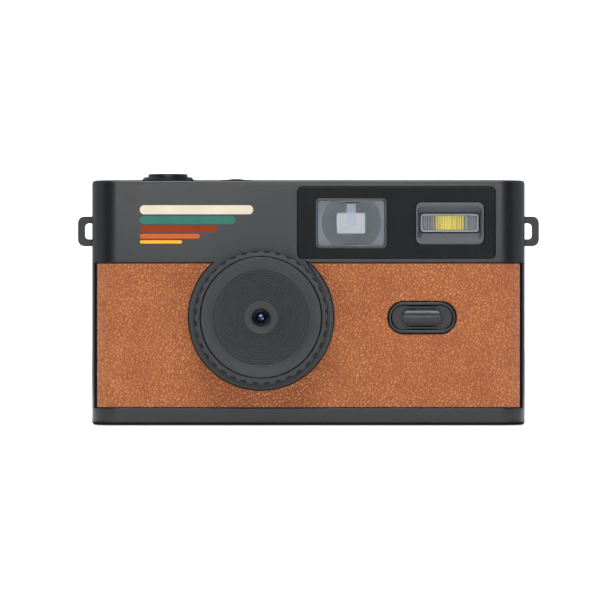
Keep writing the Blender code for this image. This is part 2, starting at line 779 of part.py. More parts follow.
def lens_elements():
    glass = (CLEAR, 0.02)
    front = [(0.0, 13.5), (1.4, 13.35), (2.7, 13.0), (2.7, 12.4), (0.0, 12.4)]
    turned("front_lens", front, (LENS_X, 0.0, LENS_Z), glass, steps=24, forward=True)
    rear = [(0.0, 7.6), (3.6, 7.4), (3.6, 6.7), (1.9, 6.2), (0.0, 6.0)]
    turned("rear_lens", rear, (LENS_X, 0.0, LENS_Z), glass, steps=24, forward=True)
    stop = [(8.0, 11.8), (8.0, 11.3), (1.15, 11.3), (1.15, 11.8), (8.0, 11.8)]
    turned("aperture_plate", stop, (LENS_X, 0.0, LENS_Z), (SATIN, 0.5), steps=24, forward=True)


def shutter():
    plate = block("shutter_plate", (-31.0, -9.0, 13.5), (7.0, -8.3, 41.5), (STEEL, 0.4, 1.0), 2.0, "Y", 3)
    post = cylinder("blade_post", 0.7, -10.0, -8.6, BLADE_PIVOT, axis="Y", sides=12)
    hole = cylinder("plate_hole", 3.2, -12.0, -6.0, (LENS_X, LENS_Z), axis="Y", sides=24)
    fuse(plate, post)
    cut(plate, hole)

    blade = cylinder("shutter_blade", 3.2, -9.75, -9.4, (LENS_X, LENS_Z), (SATIN, 0.5), "Y", 24)
    eye = cylinder("blade_eye", 2.0, -9.75, -9.4, BLADE_PIVOT, axis="Y", sides=20)
    reach = math.hypot(LENS_X - BLADE_PIVOT[0], LENS_Z - BLADE_PIVOT[1])
    arm = block("blade_arm", (0.0, -9.74, -1.3), (reach, -9.41, 1.3))
    arm.location = Vector((BLADE_PIVOT[0], 0.0, BLADE_PIVOT[1])) * MM
    arm.rotation_euler = (0.0, math.atan2(BLADE_PIVOT[1] - LENS_Z, LENS_X - BLADE_PIVOT[0]), 0.0)
    fuse(blade, eye, arm)
    cut(blade, cylinder("blade_bore", 1.0, -12.0, -8.0, BLADE_PIVOT, axis="Y", sides=16))
    set_pivot(blade, (BLADE_PIVOT[0], -9.6, BLADE_PIVOT[1]))

    coil("blade_spring", (-27.0, -7.0, 38.0), 0.8, 8.0, 6, 0.16, (STEEL, 0.3, 1.0), "X")


def release():
    lever = block("release_lever", (-38.4, -4.2, 54.6), (-16.6, -0.8, 55.4), (STEEL, 0.4, 1.0), 1.2, "Z", 3)
    eye = cylinder("lever_eye", 1.5, -4.2, -0.8, (LEVER_X, 55.0), axis="Y", sides=16)
    bore = cylinder("lever_bore", 0.8, -8.0, 4.0, (LEVER_X, 55.0), axis="Y", sides=12)
    fuse(lever, eye)
    cut(lever, bore)
    set_pivot(lever, (LEVER_X, -2.5, 55.0))
    cylinder("lever_pin", 0.5, -6.2, 1.2, (LEVER_X, 55.0), (STEEL, 0.3, 1.0), "Y", 12)

    spot = (BUTTON_X, BUTTON_Y, 0.0)
    collar = [(5.45, 62.95), (6.3, 62.95), (6.97, 62.4), (6.3, 62.3)]
    collar += [(6.3, 60.6), (5.45, 60.6), (5.45, 62.95)]
    turned("shutter_collar", collar, spot, (SATIN, 0.35), steps=32)
    button = [(0.0, 63.8), (3.8, 63.65), (4.8, 63.3), (5.1, 62.8), (5.1, 61.2), (1.8, 61.2)]
    button += [(1.8, 55.7), (0.0, 55.7)]
    turned("shutter_button", button, spot, (BLACK, 0.4), steps=32)
    coil("button_spring", (BUTTON_X, BUTTON_Y, 57.6), 2.6, 3.2, 4, 0.22, (STEEL, 0.3, 1.0))


def counter_window():
    dome = [(0.0, 62.6), (2.0, 62.5), (3.3, 62.2), (3.4, 61.4), (3.4, 60.8), (0.0, 60.8)]
    turned("counter_window", dome, (COUNTER_X, COUNTER_Y, 0.0), (CLEAR, 0.03), steps=32)


# ---------------------------------------------------------------- viewfinder and flash


def viewfinder():
    glass = (CLEAR, 0.03)
    panel("viewfinder_objective", FINDER, -12.2, -11.2, glass, radius=0.8, grow=-0.1)
    centre = (FINDER_X, FINDER_Z)
    shell = horn("viewfinder_tunnel", -10.8, 14.2, (8.2, 5.7), (4.8, 3.7), INNER_PLASTIC, centre)
    room = horn("finder_room", -12.0, 16.0, (7.5, 5.0), (3.8, 2.7), None, centre)
    cut(shell, room)
    panel("viewfinder_eyepiece", EYEPIECE, 15.2, 16.2, glass, radius=0.8, grow=-1.2)
    bezel = panel("eyepiece_bezel", EYEPIECE, 14.6, BACK + 0.4, (SATIN, 0.4), radius=1.4)
    cut(
        bezel,
        panel("bezel_window", EYEPIECE, 10.0, 30.0, radius=0.9, grow=-1.6),
        panel("bezel_seat", EYEPIECE, 10.0, 16.6, radius=0.9, grow=-0.9),
    )


def flash():
    bezel = panel("flash_bezel", FLASH, FRONT + 0.1, -9.6, (SATIN, 0.35), radius=1.5)
    funnel = loft_funnel("flash_funnel", FLASH, FLASH_BAR, FRONT, -11.5)
    bar_room = panel("flash_bar_room", FLASH_BAR, -14.0, -5.0, radius=0.8, grow=GAP)
    cut(bezel, funnel, bar_room)
    panel("flash_lens", FLASH_BAR, -11.5, -9.9, (CLEAR, 0.05), radius=0.8)

    x_low, x_high, z_low, z_high = FLASH_BAR
    reflector = block(
        "flash_reflector",
        (x_low + 0.2, -9.3, z_low + 0.6),
        (x_high - 0.2, -6.6, z_high - 0.3),
        (STEEL, 0.15, 1.0),
    )
    bowl = horn(
        "reflector_bowl",
        -9.9,
        -7.2,
        (6.6, 1.7),
        (6.0, 0.9),
        None,
        ((x_low + x_high) / 2, (z_low + z_high) / 2 + 0.15),
    )
    cut(reflector, bowl)
    cylinder("xenon_tube", 0.5, x_low + 1.8, x_high - 1.8, (-8.2, 51.4), (CLEAR, 0.05), "X", 10)

    cylinder("flash_capacitor", 5.0, 8.0, 36.0, (15.0, -2.0), ((0.05, 0.06, 0.1), 0.3), sides=24)
    block("flash_board", (6.0, 4.2, 7.0), (24.2, 5.2, 41.0), (COPPER_GREEN, 0.4))
    block("flash_transformer", (9.0, -2.0, 37.0), (17.0, 3.9, 43.0), (BRASS, 0.5), 0.8, "Z", 2)


def loft_funnel(name, outer, inner, y_outer, y_inner):
    """A tapered cutter between two rounded rectangles, run on past the outer one."""
    x_mid = (outer[0] + outer[1]) / 2
    z_mid = (outer[2] + outer[3]) / 2
    depth = y_inner - y_outer
    ahead = 0.5
    grow = 1 + ahead / depth * 0.2
    half_out = ((outer[1] - outer[0]) / 2 - 0.5, (outer[3] - outer[2]) / 2 - 0.5)
    half_in = ((inner[1] - inner[0]) / 2 + 0.3, (inner[3] - inner[2]) / 2 + 0.3)
    front = (half_out[0] * grow, half_out[1] * grow)
    return horn(name, y_outer - ahead, y_inner, front, half_in, None, (x_mid, z_mid))


def flash_switch():
    rim = panel("switch_bezel", SWITCH, -13.9, -11.5, (SATIN, 0.4), radius=3.9, segments=8)
    pocket = panel("switch_pocket", SWITCH, -20.0, -12.6, radius=3.1, grow=-0.8, segments=8)
    slot_low = (SWITCH_X - 4.5, -15.0, SWITCH_Z - 1.2)
    slot_high = (SWITCH_X + 4.5, -9.0, SWITCH_Z + 1.2)
    slot = block("switch_slot", slot_low, slot_high)
    cut(rim, pocket, slot)

    flange = (SWITCH_X - 5.3, SWITCH_X + 5.3, SWITCH_Z - 2.85, SWITCH_Z + 2.85)
    knob = panel("flash_switch", flange, -13.3, -12.9, BODY_PLASTIC, radius=2.8, segments=6)
    cap_box = (flange[0] + 0.55, flange[1] - 0.55, flange[2] + 0.3, flange[3] - 0.3)
    cap = panel("switch_cap", cap_box, -14.6, -13.0, radius=2.5, segments=6)
    top = cap.modifiers.new("rounding", "BEVEL")
    top.width = 0.5 * MM
    top.segments = 2
    top.limit_method = "ANGLE"
    top.angle_limit = math.radians(50)
    stem_low = (SWITCH_X - 2.0, -13.0, SWITCH_Z - 0.85)
    stem_high = (SWITCH_X + 2.0, -10.6, SWITCH_Z + 0.85)
    stem = block("switch_stem", stem_low, stem_high)
    foot_low = (SWITCH_X - 2.6, -11.15, SWITCH_Z - 2.2)
    foot_high = (SWITCH_X + 2.6, -10.4, SWITCH_Z + 2.2)
    foot = block("switch_foot", foot_low, foot_high)
    fuse(knob, cap, stem, foot)
    set_pivot(knob, (SWITCH_X, -13.0, SWITCH_Z))


# ---------------------------------------------------------------- battery


def battery_door_corners(grow):
    half = 5.2 + grow
    return (BATTERY_X - half, BATTERY_Y - half), (BATTERY_X + half, BATTERY_Y + half)


def battery():
    outline = [(0.0, 47.4), (1.9, 47.4), (1.9, 46.6), (5.1, 46.6), (5.25, 46.3), (5.25, 3.4)]
    outline += [(5.1, 3.1), (0.0, 3.1)]
    turned("battery", outline, (BATTERY_X, BATTERY_Y, 0.0), ((0.2, 0.2, 0.22), 0.3), steps=24)
    spot = (BATTERY_X, BATTERY_Y)
    block(
        "battery_contact_top",
        (spot[0] - 4.0, spot[1] - 4.0, 47.8),
        (spot[0] + 4.0, spot[1] + 4.0, 48.2),
        (BRASS, 0.3, 1.0),
    )
    low, high = battery_door_corners(0.0)
    door = block("battery_door", (*low, 0.25), (*high, 1.75), BODY_PLASTIC, 4.3, "Z", 5, 0.65)
    hinge_side = (BATTERY_X - 0.8, low[1], 0.25)
    fuse(door, block("battery_door_hinge_side", hinge_side, (*high, 1.75), None, 1.0, "Z", 3, 0.65))
    grip = block("battery_grip", (low[0] + 1.4, spot[1] - 2.5, -1.0), (low[0] + 2.6, spot[1] + 2.5, 0.7))
    cut(door, grip)
    set_pivot(door, (high[0] - 0.75, spot[1], 1.0))


TOOLS = {}
SCREWS = ((-33.0, -8.5), (22.0, -8.5), (22.0, 9.0), (-26.5, 9.5))
RELEASE_SPOT = (-21.0, -3.0)
EYEPIECE = (FINDER_X - 6.4, FINDER_X + 6.4, FINDER_Z - 2.9, FINDER_Z + 5.1)
REAR_LEATHER = (-42.0, 44.0, 7.0, 44.0)
BLADE_PIVOT = (-20.0, 33.5)
LEVER_X = -27.0

clear_scene()
PARTS = make_collection("half_frame_camera")
CUTTERS = make_collection("cutters")

shared_tools()
front_cover()
rear_cover()
back_door()
door_hinge_pin()
leather_front()
leather_rear()
window_panel()
strap_lug("left", -1)
strap_lug("right", 1)
case_screws()
chassis()
light_tunnel()
take_up_spool()
advance_wheel()
sprocket()
counter_dial()
pressure_plate()
door_seals()
door_latch()
rewind()
lens_ring()
lens_face()
lens_barrel()
lens_elements()
shutter()
release()
counter_window()
viewfinder()
flash()
flash_switch()
battery()
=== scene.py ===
"""Looks of the half frame camera: fine casings, leather, lens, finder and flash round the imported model."""

import json
import math

import bmesh
import bpy
from mathutils import Matrix, Vector


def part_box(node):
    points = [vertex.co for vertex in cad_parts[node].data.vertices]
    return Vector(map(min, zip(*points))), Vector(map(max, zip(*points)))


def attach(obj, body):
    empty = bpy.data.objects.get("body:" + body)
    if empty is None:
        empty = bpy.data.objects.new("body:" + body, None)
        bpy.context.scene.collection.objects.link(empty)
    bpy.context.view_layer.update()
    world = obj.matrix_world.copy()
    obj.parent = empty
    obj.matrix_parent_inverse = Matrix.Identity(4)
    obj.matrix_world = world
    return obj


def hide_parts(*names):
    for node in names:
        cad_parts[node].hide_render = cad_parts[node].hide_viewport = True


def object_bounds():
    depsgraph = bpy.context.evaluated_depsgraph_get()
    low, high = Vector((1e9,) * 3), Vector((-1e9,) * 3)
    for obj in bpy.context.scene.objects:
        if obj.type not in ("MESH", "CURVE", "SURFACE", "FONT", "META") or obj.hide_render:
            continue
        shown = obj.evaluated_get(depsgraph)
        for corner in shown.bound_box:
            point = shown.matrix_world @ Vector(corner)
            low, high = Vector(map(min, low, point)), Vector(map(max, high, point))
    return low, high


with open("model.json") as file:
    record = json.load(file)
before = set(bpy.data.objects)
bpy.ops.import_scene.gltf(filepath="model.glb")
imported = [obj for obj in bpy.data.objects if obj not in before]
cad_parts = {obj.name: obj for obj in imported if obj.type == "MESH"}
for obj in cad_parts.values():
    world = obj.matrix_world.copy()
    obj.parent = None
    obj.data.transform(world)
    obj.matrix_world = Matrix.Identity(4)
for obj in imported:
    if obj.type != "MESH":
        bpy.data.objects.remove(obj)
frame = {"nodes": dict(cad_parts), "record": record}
CAD_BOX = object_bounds()
MM = 0.001


def corners(node):
    """A CAD node's lowest and highest corners in millimetres."""
    low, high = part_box(node)
    return Vector(low) / MM, Vector(high) / MM


def middle(node):
    low, high = corners(node)
    return (low + high) / 2


# Places read from the frame, in millimetres.
CASE_HIGH = corners("front_cover")[1]
REAR_LOW = corners("rear_cover")[0]
DOOR_LOW, DOOR_HIGH = corners("back_door")
LEATHER_LOW, LEATHER_HIGH = corners("leather_front")
REAR_SKIN_LOW, REAR_SKIN_HIGH = corners("leather_rear")
PANEL_LOW, PANEL_HIGH = corners("window_panel")
SWITCH_LOW, SWITCH_HIGH = corners("switch_bezel")
FLASH_LOW, FLASH_HIGH = corners("flash_bezel")
BAR_LOW, BAR_HIGH = corners("flash_lens")
FINDER_LOW, FINDER_HIGH = corners("viewfinder_objective")
EYE_LOW, EYE_HIGH = corners("eyepiece_bezel")
KNOB_LOW, KNOB_HIGH = corners("flash_switch")
HATCH_LOW, HATCH_HIGH = corners("battery_door")
LENS = middle("lens_ring")
BUTTON = middle("shutter_button")
COUNTER = middle("counter_window")
DIAL = middle("counter_dial")
WHEEL = middle("advance_wheel")
CRANK = middle("rewind_disc")
RELEASE = middle("rewind_release_button")
HINGE = middle("door_hinge_pin")

# Measures of the casings, in millimetres.
HALF_WIDTH = CASE_HIGH.x
HEIGHT = CASE_HIGH.z
FRONT = -13.5
BACK = 18.5
WALL = 1.8
CORNER = 6.5
RIM = 0.9
RECESS = 0.9
GAP = 0.3
PARTING_Y = 6.0
TRAY_Z = 3.0
DOOR_LEFT = -49.1
NOSE = -CAD_BOX[0][1] / MM
BOSS_RADIUS = 18.35
KNUCKLE_RADIUS = 1.15
KNUCKLE_ROOM = 1.55
PIN_BORE = 0.8

# The finder's axis, and the frame seen through it.
FINDER_X = 10.9
FINDER_Z = 51.25
EYE_IMAGE = ((7.2, 0.0, 48.6), (14.6, 0.0, 54.05))

# Ends of cutting tools: clear of the case, ahead of its front, and inside its front wall.
FAR = 90.0
AHEAD = -20.0
INSIDE = -9.0


# ---------------------------------------------------------------- mesh helpers


def new_object(name, data):
    obj = bpy.data.objects.new(name, data)
    bpy.context.scene.collection.objects.link(obj)
    return obj


def from_bmesh(name, bm):
    bmesh.ops.recalc_face_normals(bm, faces=bm.faces)
    data = bpy.data.meshes.new(name)
    bm.to_mesh(data)
    bm.free()
    data.shade_smooth()
    return new_object(name, data)


def bevel_edges(bm, edges, width, segments):
    bmesh.ops.bevel(
        bm,
        geom=edges,
        offset=width * MM,
        offset_type="OFFSET",
        segments=segments,
        profile=0.5,
        affect="EDGES",
    )


def block(name, low, high, radius=0.0, axis="Z", segments=12, rim=0.0, rim_segments=4):
    bm = bmesh.new()
    bmesh.ops.create_cube(bm, size=1.0)
    bmesh.ops.scale(bm, vec=[(b - a) * MM for a, b in zip(low, high)], verts=bm.verts)
    bmesh.ops.translate(bm, vec=[(a + b) / 2 * MM for a, b in zip(low, high)], verts=bm.verts)
    way = "XYZ".index(axis)
    if radius:
        along = [e for e in bm.edges if abs(e.verts[0].co[way] - e.verts[1].co[way]) > 1e-6]
        bevel_edges(bm, along, radius, segments)
    if rim:
        flat = [e for e in bm.edges if abs(e.verts[0].co[way] - e.verts[1].co[way]) < 1e-6]
        bevel_edges(bm, flat, rim, rim_segments)
    return from_bmesh(name, bm)


def panel(name, low, high, y_low, y_high, radius, grow=0.0, segments=12, rim=0.0):
    """A plate that faces the front, between two corners' X and Z, rounded along Y."""
    a = (low[0] - grow, y_low, low[2] - grow)
    b = (high[0] + grow, y_high, high[2] + grow)
    return block(name, a, b, radius, "Y", segments, rim)


def cylinder(name, radius, low, high, centre, axis="Z", sides=96, top=None):
    bm = bmesh.new()
    bmesh.ops.create_cone(
        bm,
        cap_ends=True,
        segments=sides,
        radius1=radius * MM,
        radius2=(radius if top is None else top) * MM,
        depth=(high - low) * MM,
    )
    if axis == "Y":
        bmesh.ops.transform(bm, matrix=Matrix.Rotation(-math.pi / 2, 4, "X"), verts=bm.verts)
    if axis == "X":
        bmesh.ops.transform(bm, matrix=Matrix.Rotation(math.pi / 2, 4, "Y"), verts=bm.verts)
    mid = (low + high) / 2
    spot = {"Z": (centre[0], centre[1], mid), "Y": (centre[0], mid, centre[1]), "X": (mid, *centre)}[axis]
    bmesh.ops.translate(bm, vec=Vector(spot) * MM, verts=bm.verts)
    return from_bmesh(name, bm)


def turned(name, outline, centre, steps=96, forward=False, closed=False):
    """A turned piece from (radius, height) points, heights along +Z or, with forward, along -Y."""
    bm = bmesh.new()
    verts = [bm.verts.new((r * MM, 0.0, h * MM)) for r, h in outline]
    pairs = list(zip(verts, verts[1:]))
    if closed:
        pairs.append((verts[-1], verts[0]))
    for a, b in pairs:
        bm.edges.new((a, b))
    bmesh.ops.spin(
        bm, geom=bm.verts[:] + bm.edges[:], cent=(0, 0, 0), axis=(0, 0, 1), angle=2 * math.pi, steps=steps
    )
    bmesh.ops.remove_doubles(bm, verts=bm.verts, dist=1e-7)
    bmesh.ops.dissolve_degenerate(bm, dist=1e-8, edges=bm.edges)
    if forward:
        bmesh.ops.transform(bm, matrix=Matrix.Rotation(math.pi / 2, 4, "X"), verts=bm.verts)
    bmesh.ops.translate(bm, vec=Vector(centre) * MM, verts=bm.verts)
    return from_bmesh(name, bm)


def sheet(name, path, low, high, thickness):
    """A wall along a plan path, thickened towards both sides."""
    bm = bmesh.new()
    lower, upper = ([bm.verts.new((x * MM, y * MM, z * MM)) for x, y in path] for z in (low, high))
    for i in range(len(path) - 1):
        bm.faces.new((lower[i], lower[i + 1], upper[i + 1], upper[i]))
    obj = from_bmesh(name, bm)
    thick = obj.modifiers.new("thickness", "SOLIDIFY")
    thick.thickness = thickness * MM
    thick.offset = 0.0
    settle(obj)
    return obj


def arc(centre_x, centre_y, radius, start, end, steps):
    turns = [math.radians(start + (end - start) * i / steps) for i in range(steps + 1)]
    return [(centre_x + radius * math.cos(t), centre_y + radius * math.sin(t)) for t in turns]


def front_path(offset, wrap, steps=20):
    """A plan path round the case's front, at an offset inside its skin."""
    centre_x = HALF_WIDTH - CORNER
    centre_y = FRONT + CORNER
    left = arc(-centre_x, centre_y, CORNER - offset, -90 - wrap, -90, steps)
    right = arc(centre_x, centre_y, CORNER - offset, -90, -90 + wrap, steps)
    return left + right


def uv_ball(radius):
    bm = bmesh.new()
    bmesh.ops.create_uvsphere(bm, u_segments=64, v_segments=32, radius=radius * MM)
    data = bpy.data.meshes.new("ball")
    bm.to_mesh(data)
    bm.free()
    return data


def settle(obj):
    """Applies an object's modifiers."""
    graph = bpy.context.evaluated_depsgraph_get()
    data = bpy.data.meshes.new_from_object(obj.evaluated_get(graph))
    obj.modifiers.clear()
    obj.data = data


def combine(obj, operation, tools):
    for tool in tools:
        edit = obj.modifiers.new("edit", "BOOLEAN")
        edit.operation = operation
        edit.solver = "EXACT"
        edit.object = tool
    settle(obj)
    for tool in tools:
        bpy.data.objects.remove(tool, do_unlink=True)


def cut(obj, *tools):
    combine(obj, "DIFFERENCE", tools)


def fuse(obj, *tools):
    combine(obj, "UNION", tools)


def soften(obj, width=0.15, segments=3, angle=32.0):
    """Rounds an object's sharp edges and shades it smooth."""
    obj.data.shade_smooth()
    edge = obj.modifiers.new("edges", "BEVEL")
    edge.width = width * MM
    edge.segments = segments
    edge.limit_method = "ANGLE"
    edge.angle_limit = math.radians(angle)
    edge.use_clamp_overlap = False
    edge.harden_normals = True


def keep(obj, finish, body, nodes=(), sharp=None):
    """Gives a piece its material and its body, and hides the CAD nodes that it stands for."""
    obj.data.materials.clear()
    obj.data.materials.append(finish)
    if sharp is not None:
        obj.data.set_sharp_from_angle(angle=math.radians(sharp))
    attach(obj, body)
    if nodes:
        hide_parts(*nodes)
    return obj


# ---------------------------------------------------------------- materials


def shader_of(name, colour, roughness, metallic=0.0):
    made = bpy.data.materials.new(name)
    made.use_nodes = True
    shader = made.node_tree.nodes["Principled BSDF"]
    shader.inputs["Base Color"].default_value = (*colour, 1.0)
    shader.inputs["Roughness"].default_value = roughness
    shader.inputs["Metallic"].default_value = metallic
    return made, shader, made.node_tree


def add(tree, kind, **values):
    node = tree.nodes.new(kind)
    for key, value in values.items():
        setattr(node, key, value)
    return node


def noise(tree, scale, detail=3.0, rough=0.5, stretch=(1, 1, 1)):
    """A noise texture in object space, its scale in features per metre."""
    coords = add(tree, "ShaderNodeTexCoord")
    mapping = add(tree, "ShaderNodeMapping")
    mapping.inputs["Scale"].default_value = stretch
    field = add(tree, "ShaderNodeTexNoise")
    field.inputs["Scale"].default_value = scale
    field.inputs["Detail"].default_value = detail
    field.inputs["Roughness"].default_value = rough
    tree.links.new(coords.outputs["Object"], mapping.inputs["Vector"])
    tree.links.new(mapping.outputs["Vector"], field.inputs["Vector"])
    return field.outputs["Fac"]


def ramp(tree, source, low, high, start=0.3, end=0.7):
    node = add(tree, "ShaderNodeValToRGB")
    node.color_ramp.elements[0].position = start
    node.color_ramp.elements[1].position = end
    node.color_ramp.elements[0].color = (*low, 1.0)
    node.color_ramp.elements[1].color = (*high, 1.0)
    tree.links.new(source, node.inputs["Fac"])
    return node.outputs["Color"]


def span(tree, source, low, high):
    node = add(tree, "ShaderNodeMapRange")
    node.inputs["To Min"].default_value = low
    node.inputs["To Max"].default_value = high
    tree.links.new(source, node.inputs["Value"])
    return node.outputs["Result"]


def bump(tree, shader, height, distance):
    node = add(tree, "ShaderNodeBump")
    node.inputs["Distance"].default_value = distance
    node.inputs["Strength"].default_value = 1.0
    tree.links.new(height, node.inputs["Height"])
    tree.links.new(node.outputs["Normal"], shader.inputs["Normal"])


def shade(colour, share):
    return tuple(c * share for c in colour)


def plastic(name, colour, roughness, grain=0.00001, scale=5200.0, spread=0.06, rough_spread=0.06):
    """Moulded plastic: a fine spark-eroded grain, faint mottling and uneven gloss."""
    made, shader, tree = shader_of(name, colour, roughness)
    broad = noise(tree, 160.0, 4.0)
    tree.links.new(
        ramp(tree, broad, shade(colour, 1 - spread), shade(colour, 1 + spread)), shader.inputs["Base Color"]
    )
    tree.links.new(
        span(tree, noise(tree, 420.0), roughness - rough_spread, roughness + rough_spread),
        shader.inputs["Roughness"],
    )
    bump(tree, shader, noise(tree, scale, 2.0), grain)
    return made


def metal(name, colour, roughness, stretch=(1, 1, 30)):
    """Metal with fine brushing and small changes of gloss."""
    made, shader, tree = shader_of(name, colour, roughness, 1.0)
    lines = noise(tree, 900.0, 4.0, stretch=stretch)
    tree.links.new(span(tree, lines, roughness - 0.08, roughness + 0.1), shader.inputs["Roughness"])
    tree.links.new(ramp(tree, lines, shade(colour, 0.86), colour), shader.inputs["Base Color"])
    bump(tree, shader, lines, 0.000004)
    return made


def clear(name, colour, roughness=0.02, weight=1.0):
    """Clear moulded plastic with a trace of uneven polish."""
    made, shader, tree = shader_of(name, colour, roughness)
    shader.inputs["Transmission Weight"].default_value = weight
    shader.inputs["IOR"].default_value = 1.49
    tree.links.new(span(tree, noise(tree, 300.0), roughness, roughness + 0.03), shader.inputs["Roughness"])
    return made


def leather(name):
    """Pebbled tan leather: rounded cells whose edges are darkened as painted shade in the creases, and
    cloudy dye.
    """
    tan, painted_crease_shade, light = (0.45, 0.13, 0.026), (0.235, 0.055, 0.011), (0.55, 0.182, 0.046)
    made, shader, tree = shader_of(name, tan, 0.52)
    coords = add(tree, "ShaderNodeTexCoord")
    slant = add(tree, "ShaderNodeMapping", vector_type="TEXTURE")
    slant.inputs["Rotation"].default_value = (0.0, 0.6, 0.0)
    slant.inputs["Scale"].default_value = (1.0, 1.0, 1.6)
    warp = add(tree, "ShaderNodeTexNoise")
    warp.inputs["Scale"].default_value = 700.0
    mixed = add(tree, "ShaderNodeVectorMath", operation="MULTIPLY_ADD")
    mixed.inputs[1].default_value = (0.0006, 0.0006, 0.0006)
    cells = add(tree, "ShaderNodeTexVoronoi", feature="DISTANCE_TO_EDGE")
    cells.inputs["Scale"].default_value = 1550.0
    tree.links.new(coords.outputs["Object"], slant.inputs["Vector"])
    tree.links.new(coords.outputs["Object"], warp.inputs["Vector"])
    tree.links.new(warp.outputs["Color"], mixed.inputs[0])
    tree.links.new(slant.outputs["Vector"], mixed.inputs[2])
    tree.links.new(mixed.outputs["Vector"], cells.inputs["Vector"])
    pebble = ramp(tree, cells.outputs["Distance"], (0, 0, 0), (1, 1, 1), 0.0, 0.24)
    cloud = noise(tree, 130.0, 5.0, 0.6)
    dye = ramp(tree, cloud, tan, light, 0.35, 0.7)
    # Painted shade: the darker crease colour is mixed in towards the cell edges.
    blend = add(tree, "ShaderNodeMix", data_type="RGBA")
    blend.inputs["A"].default_value = (*painted_crease_shade, 1.0)
    fade = span(tree, pebble, 0.1, 1.0)
    tree.links.new(fade, blend.inputs["Factor"])
    tree.links.new(dye, blend.inputs["B"])
    tree.links.new(blend.outputs["Result"], shader.inputs["Base Color"])
    tree.links.new(span(tree, pebble, 0.68, 0.46), shader.inputs["Roughness"])
    height = add(tree, "ShaderNodeMath", operation="MULTIPLY_ADD")
    height.inputs[1].default_value = 0.25
    tree.links.new(noise(tree, 4200.0, 2.0), height.inputs[0])
    tree.links.new(pebble, height.inputs[2])
    bump(tree, shader, height.outputs["Value"], 0.00016)
    shader.inputs["Sheen Weight"].default_value = 0.12
    return made


def painted_glow(name, colour, strength, roughness=0.3, alpha=1.0):
    """Painted glow: emission makes a clear plastic look lit from behind and brighter than its surroundings,
    though it is no lamp.
    """
    made, shader, tree = shader_of(name, colour, roughness)
    shader.inputs["Emission Strength"].default_value = strength
    tint = ramp(tree, noise(tree, 240.0), shade(colour, 0.94), colour)
    tree.links.new(tint, shader.inputs["Base Color"])
    tree.links.new(tint, shader.inputs["Emission Color"])
    shader.inputs["Alpha"].default_value = alpha
    return made


def amber():
    """The flash lens: grey ribs, with the yellow of the tube and its reflector in the middle."""
    grey, yellow = (0.2, 0.215, 0.245), (0.66, 0.56, 0.14)
    made, shader, tree = shader_of("flash_ribs", grey, 0.18)
    coords = add(tree, "ShaderNodeTexCoord")
    split = add(tree, "ShaderNodeSeparateXYZ")
    tree.links.new(coords.outputs["Object"], split.inputs[0])
    centre = (BAR_LOW.x + BAR_HIGH.x) / 2
    shift = add(tree, "ShaderNodeMath", operation="SUBTRACT")
    shift.inputs[1].default_value = centre * MM
    size = add(tree, "ShaderNodeMath", operation="ABSOLUTE")
    tree.links.new(split.outputs["X"], shift.inputs[0])
    tree.links.new(shift.outputs[0], size.inputs[0])
    scaled = add(tree, "ShaderNodeMath", operation="MULTIPLY")
    scaled.inputs[1].default_value = 1.0 / (7.5 * MM)
    tree.links.new(size.outputs[0], scaled.inputs[0])
    band = add(tree, "ShaderNodeValToRGB")
    band.color_ramp.interpolation = "CONSTANT"
    stops = ((0.0, yellow), (0.39, grey), (0.41, yellow), (0.47, grey), (0.545, yellow), (0.565, grey))
    band.color_ramp.elements.remove(band.color_ramp.elements[1])
    band.color_ramp.elements[0].color = (*yellow, 1.0)
    for place, colour in stops[1:]:
        stop = band.color_ramp.elements.new(place)
        stop.color = (*colour, 1.0)
    tree.links.new(scaled.outputs[0], band.inputs["Fac"])
    streak = noise(tree, 1400.0, 2.0, stretch=(1, 1, 0.02))
    tone = add(tree, "ShaderNodeMix", data_type="RGBA", blend_type="MULTIPLY")
    tone.inputs["Factor"].default_value = 0.5
    tree.links.new(band.outputs["Color"], tone.inputs["A"])
    tree.links.new(ramp(tree, streak, (0.6, 0.6, 0.6), (1.15, 1.15, 1.15)), tone.inputs["B"])
    tree.links.new(tone.outputs["Result"], shader.inputs["Base Color"])
    shader.inputs["Coat Weight"].default_value = 0.5
    return made


def coated():
    """Dark coated glass with two painted blue reflections: emissive patches standing in for reflections off
    its inner surfaces.
    """
    made, shader, tree = shader_of("coated_glass_painted_glints", (0.004, 0.006, 0.012), 0.04)
    shader.inputs["Coat Weight"].default_value = 0.15
    shader.inputs["Specular IOR Level"].default_value = 0.2
    coords = add(tree, "ShaderNodeTexCoord")
    total = None
    painted_reflections = (((-0.18, 0.42), 0.45, (0.16, 0.36, 0.72)), ((0.38, -0.28), 0.4, (0.08, 0.2, 0.62)))
    for (x, z), radius, colour in painted_reflections:
        far = add(tree, "ShaderNodeVectorMath", operation="DISTANCE")
        far.inputs[1].default_value = ((LENS.x + x) * MM, -13.5 * MM, (LENS.z + z) * MM)
        tree.links.new(coords.outputs["Object"], far.inputs[0])
        fall = add(tree, "ShaderNodeMapRange", interpolation_type="SMOOTHSTEP")
        fall.inputs["From Max"].default_value = radius * MM
        fall.inputs["To Min"].default_value = 1.0
        fall.inputs["To Max"].default_value = 0.0
        tree.links.new(far.outputs["Value"], fall.inputs["Value"])
        tint = add(tree, "ShaderNodeVectorMath", operation="SCALE")
        tint.inputs[0].default_value = colour
        tree.links.new(fall.outputs["Result"], tint.inputs["Scale"])
        if total is None:
            total = tint.outputs[0]
        else:
            both = add(tree, "ShaderNodeVectorMath", operation="ADD")
            tree.links.new(total, both.inputs[0])
            tree.links.new(tint.outputs[0], both.inputs[1])
            total = both.outputs[0]
    tree.links.new(total, shader.inputs["Emission Color"])
    shader.inputs["Emission Strength"].default_value = 1.7
    return made


def mute(finish, level):
    """Lowers a plastic's mirror-like share."""
    finish.node_tree.nodes["Principled BSDF"].inputs["Specular IOR Level"].default_value = level


def ink(name, colour):
    """A matt printed colour."""
    finish = plastic(name, colour, 0.5, 0.000002)
    mute(finish, 0.12)
    return finish


